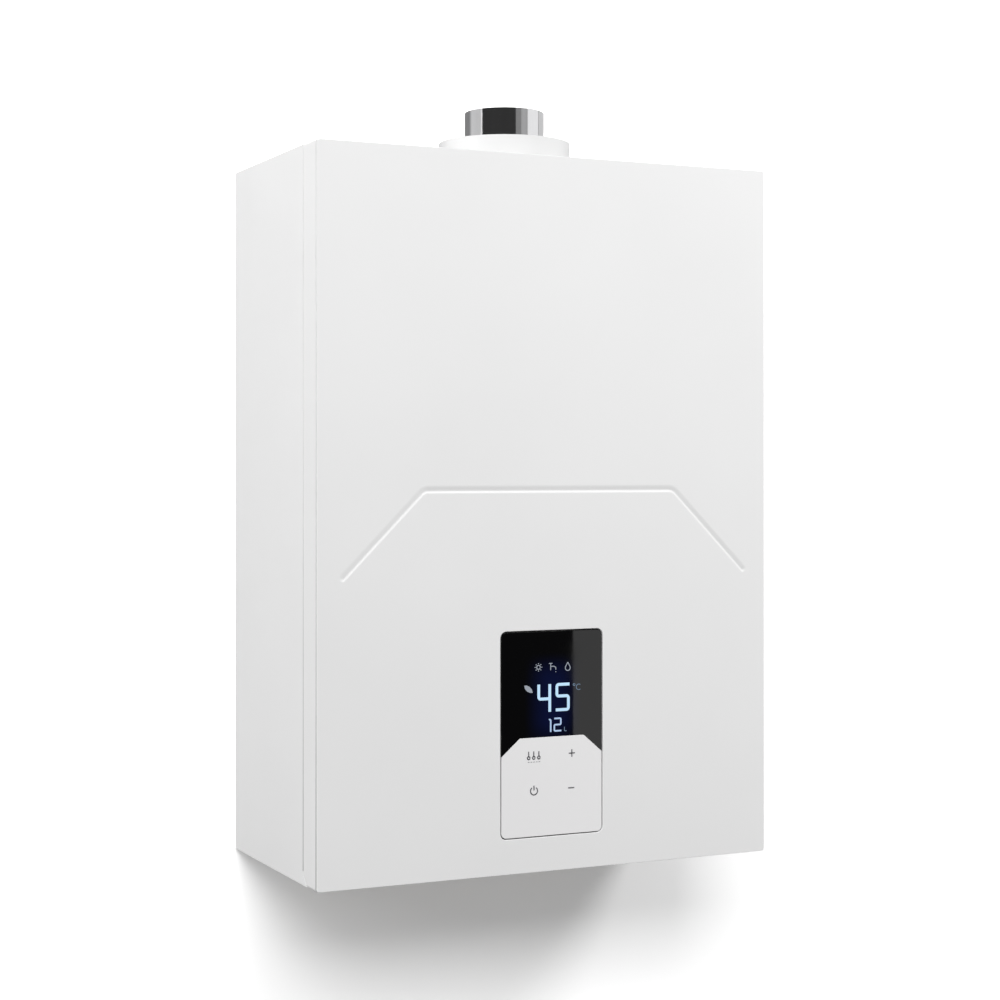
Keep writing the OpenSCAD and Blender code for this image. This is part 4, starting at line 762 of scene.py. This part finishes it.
class HeaterFittings(bpy.types.PropertyGroup):
    """Screws and pipe threads."""
    head_radius: distance("Screw Head Radius", "Radius of the screw heads", 4)
    head_height: distance("Screw Head Height", "Height of the screw heads", 2.2)
    thread_pitch: distance("Thread Pitch", "Pitch of the half inch pipe thread", 1.814)
    thread_depth: distance("Thread Depth", "Depth of the half inch pipe thread", 1.16)
    thread_start: distance("Thread Start", "From the pipe's mouth to its thread", 1.3)
    thread_turns: amount("Thread Turns", "Turns of the pipe thread", 8.0)
    seed: IntProperty(name="Seed", description="Seed of the screws' turns", default=7)


class HeaterStage(bpy.types.PropertyGroup):
    """Camera, wall and lamps."""
    camera_place: FloatVectorProperty(name="Camera Place", description="Where the camera stands",
        default=(-0.6742, -1.5233, 0.0329), subtype="TRANSLATION", unit="LENGTH")
    camera_aim: FloatVectorProperty(name="Camera Aim", description="Direction the camera looks in",
        default=(0.4267, 0.9044, 0.0), subtype="DIRECTION")
    lens: amount("Lens", "Focal length in millimetres", 72.76)
    shift_up: amount("Shift", "Upward shift of the camera", -0.0312)
    fill: amount("Fill", "Strength of the even light", 0.27)
    key_power: amount("Key Power", "Power of the lamp in front", 61.0, unit="POWER")
    side_power: amount("Side Power", "Power of the left lamp", 43.0, unit="POWER")
    right_power: amount("Right Power", "Power of the right lamp", 18.0, unit="POWER")
    back_power: amount("Back Power", "Power of the lamp behind", 22.0, unit="POWER")


# Operators

class HEATER_OT_finishes(bpy.types.Operator):
    """Make the finishes and put them on the pieces"""
    bl_idname = "heater.finishes"
    bl_label = "Finishes"

    def execute(self, context):
        for make in EFFECTS:
            effect_group(make.__name__, make)
        for name, look in FINISHES.items():
            painted(name, look)
        make_display_glass()
        make_lit("lit_blue", tuple(context.scene.heater_display.figure_colour), 1.0)
        make_lit("lit_deep", (0.50, 0.68, 0.95), 0.85)
        make_lit("lit_white", (0.62, 0.66, 0.72), 0.5)
        make_lit("lit_dim", (0.20, 0.30, 0.42), 0.6)
        for node, obj in frame["nodes"].items():
            material = finish(FINISH_OF_NODE.get(node, SLOT_OF[node]))
            if not obj.material_slots:
                obj.data.materials.append(material)
            for slot in obj.material_slots:
                slot.material = material
        return {"FINISHED"}


class HEATER_OT_front_sheet(bpy.types.Operator):
    """Make the pressed front sheet"""
    bl_idname = "heater.front_sheet"
    bl_label = "Front Sheet"

    def execute(self, context):
        sheet = context.scene.heater_sheet
        obj = place("front_sheet", front_sheet_mesh(sheet), BODY_OF["front_panel"],
            finish("white_enamel"))
        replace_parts(shade(obj), "front_panel")
        hem, case = FRONT + sheet.hem_thick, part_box("top_plate")[0].y
        # painted shade: dark beads darken the joint behind the front sheet's fold and the seam between cover
        # and case
        joint_ring("front_joint_bead", "cover", (hem, FRONT + 2.4 * MM), (0.02 * MM, 2.9 * MM))
        joint_ring("case_joint_bead", "chassis", (case - 0.8 * MM, case), (0.0, 1.1 * MM), arch=True)
        return {"FINISHED"}


class HEATER_OT_casing(bpy.types.Operator):
    """Round the edges of the casing, the panel and pieces inside"""
    bl_idname = "heater.casing"
    bl_label = "Casing"

    def execute(self, context):
        for node, width in SOFT_EDGES:
            soften(node, width, change=self.set_back if node in MARKED_NODES else None)
        return {"FINISHED"}

    def set_back(self, bm, face=0.5 * MM, shift=0.12 * MM):
        """Moves a panel's face back a little, so that the marks on it end level with the sheet."""
        for vert in bm.verts:
            if vert.co.y < FRONT + face:
                vert.co.y += shift


# nodes that carry the panel's marks, and nodes whose edges are rounded, with the width in mm
MARKED_NODES = ("display_window", "key_plate")
SOFT_EDGES = (("rear_casing", 0.2), ("cover_frame", 0.2), ("top_plate", 0.3), ("bottom_plate", 0.4),
    ("air_collar", 0.25), ("exhaust_ring", 0.2), ("display_window", 0.2), ("key_plate", 0.2),
    ("console_tray", 0.4), ("control_box", 0.8), ("igniter", 1.0), ("gas_valve_body", 0.8),
    ("valve_coils", 0.6), ("pressure_switch", 0.5), ("scroll_cover", 0.2), ("locknuts", 0.3),
    ("union_nuts", 0.3), ("cable_gland", 0.3), ("drain_plug", 0.4))


class HEATER_OT_panel_marks(bpy.types.Operator):
    """Draw the display's figures and the keys' marks"""
    bl_idname = "heater.panel_marks"
    bl_label = "Panel Marks"

    def execute(self, context):
        display = context.scene.heater_display
        tree = strokes_tree()
        body = BODY_OF["display_window"]
        origin = (PANEL_MID.x, FRONT + display.mark_thickness / 2, PANEL_LOW.y + MARKS_UP)
        for name, material, width, bend, paths in MARKS:
            mesh = path_mesh(name, [[(x * MM, y * MM, 0.0) for x, y in path] for path in paths])
            values = {"Width": width * MM, "Thickness": display.mark_thickness, "Bend Radius": bend * MM,
                "Place": origin, "Material": finish(material)}
            grow(name, tree, mesh, values, body)
        bm = bmesh.new()
        layers = [[bm.verts.new((origin[0] + x * MM, FRONT + off, origin[2] + z * MM)) for x, z in LEAF]
            for off in (0.0, display.mark_thickness)]
        strips(bm, layers)
        for layer in layers:
            bm.faces.new(layer)
        leaf = mesh_from(bm, "leaf_icon")
        place("leaf_icon", leaf, body, finish("lit_white"), smooth=False)
        return {"FINISHED"}


class HEATER_OT_screws(bpy.types.Operator):
    """Put detailed screws in place of the plain ones"""
    bl_idname = "heater.screws"
    bl_label = "Screws"

    def execute(self, context):
        fittings = context.scene.heater_fittings
        head = self.make_head(fittings.head_radius, fittings.head_height)
        tree = screws_tree()
        for node, axis in (("cover_screws", (0, 0, -1)), ("collar_screws", (0, 0, 1)),
                ("fan_screws", (0, -1, 0))):
            spots, length = self.places(node, Vector(axis), fittings.head_height)
            obj = grow(node + "_detailed", tree, path_mesh(node, [[spot] for spot in spots]), {"Head": head,
                "Shank Radius": fittings.head_radius / 2, "Shank Length": length, "Axis": axis,
                "Seed": fittings.seed, "Material": finish("screw_steel")}, BODY_OF[node])
            obj.data.set_sharp_from_angle(angle=math.radians(40))
            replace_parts(obj, node)
        bpy.data.objects.remove(head)
        return {"FINISHED"}

    def make_head(self, radius, height):
        """A pan head with a cross recess, standing on the origin."""
        bm = bmesh.new()
        loops = []
        for share, up in ((1.0, 0.0), (1.0, 0.3), (0.97, 0.52), (0.86, 0.74), (0.62, 0.92), (0.30, 0.985)):
            out = radius * share
            turns = [math.tau * i / 24 for i in range(24)]
            loops.append([bm.verts.new((out * math.cos(a), out * math.sin(a), height * up)) for a in turns])
        strips(bm, loops)
        bm.faces.new(loops[0])
        bm.faces.new(loops[-1])
        head = in_scene("screw_head", mesh_from(bm, "screw_head"))
        for x, y in ((0.22, 1.25), (1.25, 0.22)):
            cut = bmesh.new()
            bmesh.ops.create_cube(cut, size=1.0)
            bmesh.ops.scale(cut, vec=(x * radius, y * radius, 1.6 * height), verts=cut.verts)
            bmesh.ops.translate(cut, vec=(0.0, 0.0, 1.35 * height), verts=cut.verts)
            tool = in_scene("screw_cut", mesh_from(cut, "screw_cut"))
            boolean = head.modifiers.new("Recess", "BOOLEAN")
            boolean.operation = "DIFFERENCE"
            boolean.solver = "EXACT"
            boolean.object = tool
            baked(head)
            bpy.data.objects.remove(tool)
        return head

    def places(self, node, axis, height):
        """The seats of a node's screws, and the length of the shortest shank."""
        bm = merged_copy(node)
        spots, lengths, seen = [], [], set()
        for vert in bm.verts:
            if vert in seen:
                continue
            group, queue = set(), [vert]
            while queue:
                v = queue.pop()
                if v not in group:
                    group.add(v)
                    queue += [e.other_vert(v) for e in v.link_edges]
            seen |= group
            along = [v.co.dot(axis) for v in group]
            across = [v.co - axis * v.co.dot(axis) for v in group]
            centre = Vector(((min(c[i] for c in across) + max(c[i] for c in across)) / 2 for i in range(3)))
            spots.append(centre + axis * (max(along) - height))
            lengths.append(max(along) - height - min(along))
        bm.free()
        return spots, min(lengths)


class HEATER_OT_threads(bpy.types.Operator):
    """Cut the pipe threads of the three connections"""
    bl_idname = "heater.threads"
    bl_label = "Pipe Threads"

    def execute(self, context):
        fittings = context.scene.heater_fittings
        tree = thread_tree()
        mounts = {mount["name"]: mount for mount in frame["record"]["mounts"]}
        for node, name in (("gas_inlet", "gas"), ("cold_inlet", "cold_water"), ("hot_outlet", "hot_water")):
            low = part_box(node)[0].z
            axis = Vector(mounts[name]["pos_m"][:2])
            radius, length = (mounts[name]["dims"][key] * MM for key in ("r_mm", "length_mm"))

            def slim(bm):
                """Takes the pipe's end down to the root of its thread."""
                above, inside = 0.2 * MM, 0.18 * MM
                for v in bm.verts:
                    out = Vector((v.co.x, v.co.y)) - axis
                    if v.co.z < low + length + above and out.length > radius - inside:
                        v.co.x, v.co.y = axis + out.normalized() * (radius - fittings.thread_depth)
            soften(node, 0.25, change=slim)
            grow(node + "_thread", tree, path_mesh(node, [[(*axis, low + fittings.thread_start)]]),
                {"Radius": radius, "Depth": fittings.thread_depth, "Pitch": fittings.thread_pitch,
                    "Turns": fittings.thread_turns, "Material": finish("brass")}, BODY_OF[node])
        return {"FINISHED"}


def lamp(name, spot, power, size):
    """An area lamp that looks at the heater's middle."""
    data = bpy.data.lights.new(name, "AREA")
    data.shape = "RECTANGLE"
    data.size, data.size_y = size
    data.energy = power
    obj = in_scene(name, data)
    obj.location = spot
    obj.rotation_euler = (Vector((0.0, -0.09, 0.0)) - Vector(spot)).to_track_quat("-Z", "Y").to_euler()
    obj.visible_glossy = False


def sheet_of(name, corners, material):
    """A flat stage piece."""
    mesh = bpy.data.meshes.new(name)
    mesh.from_pydata(corners, [], [(0, 1, 2, 3)])
    mesh.materials.append(material)
    obj = in_scene(name, mesh)
    return obj


# cards that only reflections show: directions in degrees to the right of the front, heights, distance, tone
CARDS = (("dark_card_high", -90.0, 8.0, 0.15, 2.2, 2.6, 0.04),
    ("dim_card_high", 8.0, 24.0, 0.15, 2.2, 2.6, 0.27),
    ("grey_card_high", 24.0, 45.0, 0.15, 2.2, 2.6, 0.45),
    ("dark_card_low", -40.0, 25.8, -2.0, 0.15, 2.6, 0.03))


def seen_rays(tree):
    """The Light Path node, and 1 for rays from the eye, in reflections and through glass."""
    path = add(tree, "ShaderNodeLightPath")
    return path, calc(tree, "MAXIMUM", path.outputs["Is Camera Ray"],
        calc(tree, "MAXIMUM", path.outputs["Is Glossy Ray"], path.outputs["Is Transmission Ray"]))


def shown_material(name, level, reach=None):
    """Matt and pale to the eye, dimmed by painted shade in reflections, clear to other light and past a
    reach.
    """
    material, tree, coords = empty_material(name)
    path, rays = seen_rays(tree)
    back = add(tree, "ShaderNodeNewGeometry").outputs["Backfacing"]
    shown = calc(tree, "MULTIPLY", rays, calc(tree, "SUBTRACT", 1.0, back))
    if reach:
        flat = stretched(tree, coords, (1.0, 1.0, 0.0))
        away = add(tree, "ShaderNodeVectorMath", {0: flat}, operation="LENGTH").outputs["Value"]
        shown = calc(tree, "MULTIPLY", shown, ramp(tree, away, 0.3 * reach, reach, 1.0, 0.0))
    paint = tint(tree, noise(tree, coords, 3.0), grey(0.98 * level), grey(level))
    # painted shade: in reflections the wall is painted dim, darkest behind the flue
    aside = calc(tree, "ABSOLUTE", add(tree, "ShaderNodeSeparateXYZ", {"Vector": coords}).outputs[0])
    painted_flue_shade = tint(tree, ramp(tree, aside, 0.09, 0.15), grey(0.14), grey(0.38))
    painted_reflection_shade = tint(tree, path.outputs["Is Glossy Ray"], grey(1.0), painted_flue_shade)
    seen = add(tree, "ShaderNodeVectorMath", {0: paint, 1: painted_reflection_shade}, operation="MULTIPLY")
    matt = add(tree, "ShaderNodeBsdfDiffuse", {"Color": seen})
    clear = add(tree, "ShaderNodeBsdfTransparent")
    mixed = add(tree, "ShaderNodeMixShader", {0: shown, 1: clear, 2: matt})
    add(tree, "ShaderNodeOutputMaterial", {"Surface": mixed})
    return material


def card_material(name, level):
    """A nearly even tone for a card."""
    material, tree, coords = empty_material(name)
    tone = tint(tree, noise(tree, coords, 2.0), grey(0.9 * level), grey(1.1 * level))
    light = add(tree, "ShaderNodeEmission", {"Color": tone})
    add(tree, "ShaderNodeOutputMaterial", {"Surface": light})
    return material


class HEATER_OT_stage(bpy.types.Operator):
    """Build the wall, the floor, the cards, the lights and the camera"""
    bl_idname = "heater.stage"
    bl_label = "Stage"

    def execute(self, context):
        scene = context.scene
        stage = scene.heater_stage
        behind, side, foot, top = CAD_BOX[1].y + 0.8 * MM, 4, -1.2, 3
        sheet_of("wall", [(side * x, behind, z) for x, z in ((-1, foot), (1, foot), (1, top), (-1, top))],
            shown_material("wall_paint", 1.5))
        sheet_of("floor", [(side * x, side * y, foot) for x, y in ((-1, -1), (1, -1), (1, 1), (-1, 1))],
            shown_material("floor_paint", 0.95, 1.6))
        for card in CARDS:
            self.make_card(*card)
        lamp("key_lamp", (-1.05, -2.8, 1.55), stage.key_power, (1.7, 1.3))
        lamp("side_lamp", (-2.3, -0.35, 1.2), stage.side_power, (1.0, 1.4))
        lamp("right_lamp", (1.15, -0.95, 1.25), stage.right_power, (0.5, 0.8))
        lamp("back_lamp", (0.5, 2.2, 0.5), stage.back_power, (1.6, 1.4))
        self.make_world(scene, stage.fill)
        data = bpy.data.cameras.new("camera")
        data.lens, data.sensor_width, data.sensor_fit = stage.lens, 36.0, "HORIZONTAL"
        data.shift_y = stage.shift_up
        data.clip_start, data.clip_end = 0.05, 50.0
        camera = in_scene("camera", data)
        camera.location = stage.camera_place
        camera.rotation_euler = Vector(stage.camera_aim).to_track_quat("-Z", "Y").to_euler()
        scene.camera = camera
        scene.view_settings.view_transform = "Standard"
        return {"FINISHED"}

    def make_card(self, name, start, end, low, high, reach, tone):
        """A card of one tone, upright between two directions, that only reflections show."""
        sides = [(reach * math.sin(a), -reach * math.cos(a)) for a in map(math.radians, (start, end))]
        card = sheet_of(name, [(*sides[0], low), (*sides[1], low), (*sides[1], high), (*sides[0], high)],
            card_material(name, tone))
        card.visible_camera = card.visible_diffuse = card.visible_shadow = card.visible_transmission = False

    def make_world(self, scene, fill):
        """Even light for surfaces, white to the eye and in reflections."""
        world = bpy.data.worlds.new("room")
        tree = emptied_tree(world)
        strength = calc(tree, "MULTIPLY_ADD", seen_rays(tree)[1], 1.0 - fill, fill)
        sky = add(tree, "ShaderNodeBackground", {"Color": (1.0, 1.0, 1.0, 1.0), "Strength": strength})
        add(tree, "ShaderNodeOutputWorld", {"Surface": sky})
        scene.world = world


class HEATER_PT_panel(bpy.types.Panel):
    """A button for each step of the finish"""
    bl_label = "Gas Water Heater"
    bl_idname = "HEATER_PT_panel"
    bl_space_type = "VIEW_3D"
    bl_region_type = "UI"
    bl_category = "Heater"

    def draw(self, context):
        for operator in OPERATORS:
            self.layout.operator(operator.bl_idname)


GROUPS = {"heater_sheet": HeaterSheet, "heater_display": HeaterDisplay, "heater_fittings": HeaterFittings,
    "heater_stage": HeaterStage}
OPERATORS = (HEATER_OT_finishes, HEATER_OT_front_sheet, HEATER_OT_casing, HEATER_OT_panel_marks,
    HEATER_OT_screws, HEATER_OT_threads, HEATER_OT_stage)


def register():
    for kind in (*GROUPS.values(), *OPERATORS, HEATER_PT_panel):
        bpy.utils.register_class(kind)
    for name, kind in GROUPS.items():
        setattr(bpy.types.Scene, name, PointerProperty(type=kind))


def unregister():
    for name in GROUPS:
        delattr(bpy.types.Scene, name)
    for kind in (HEATER_PT_panel, *reversed(OPERATORS), *reversed(tuple(GROUPS.values()))):
        bpy.utils.unregister_class(kind)


def main():
    register()
    for operator in OPERATORS:
        group, name = operator.bl_idname.split(".")
        if "FINISHED" not in getattr(getattr(bpy.ops, group), name)():
            raise RuntimeError(operator.bl_label + " did not finish")


if __name__ == "__main__":
    main()
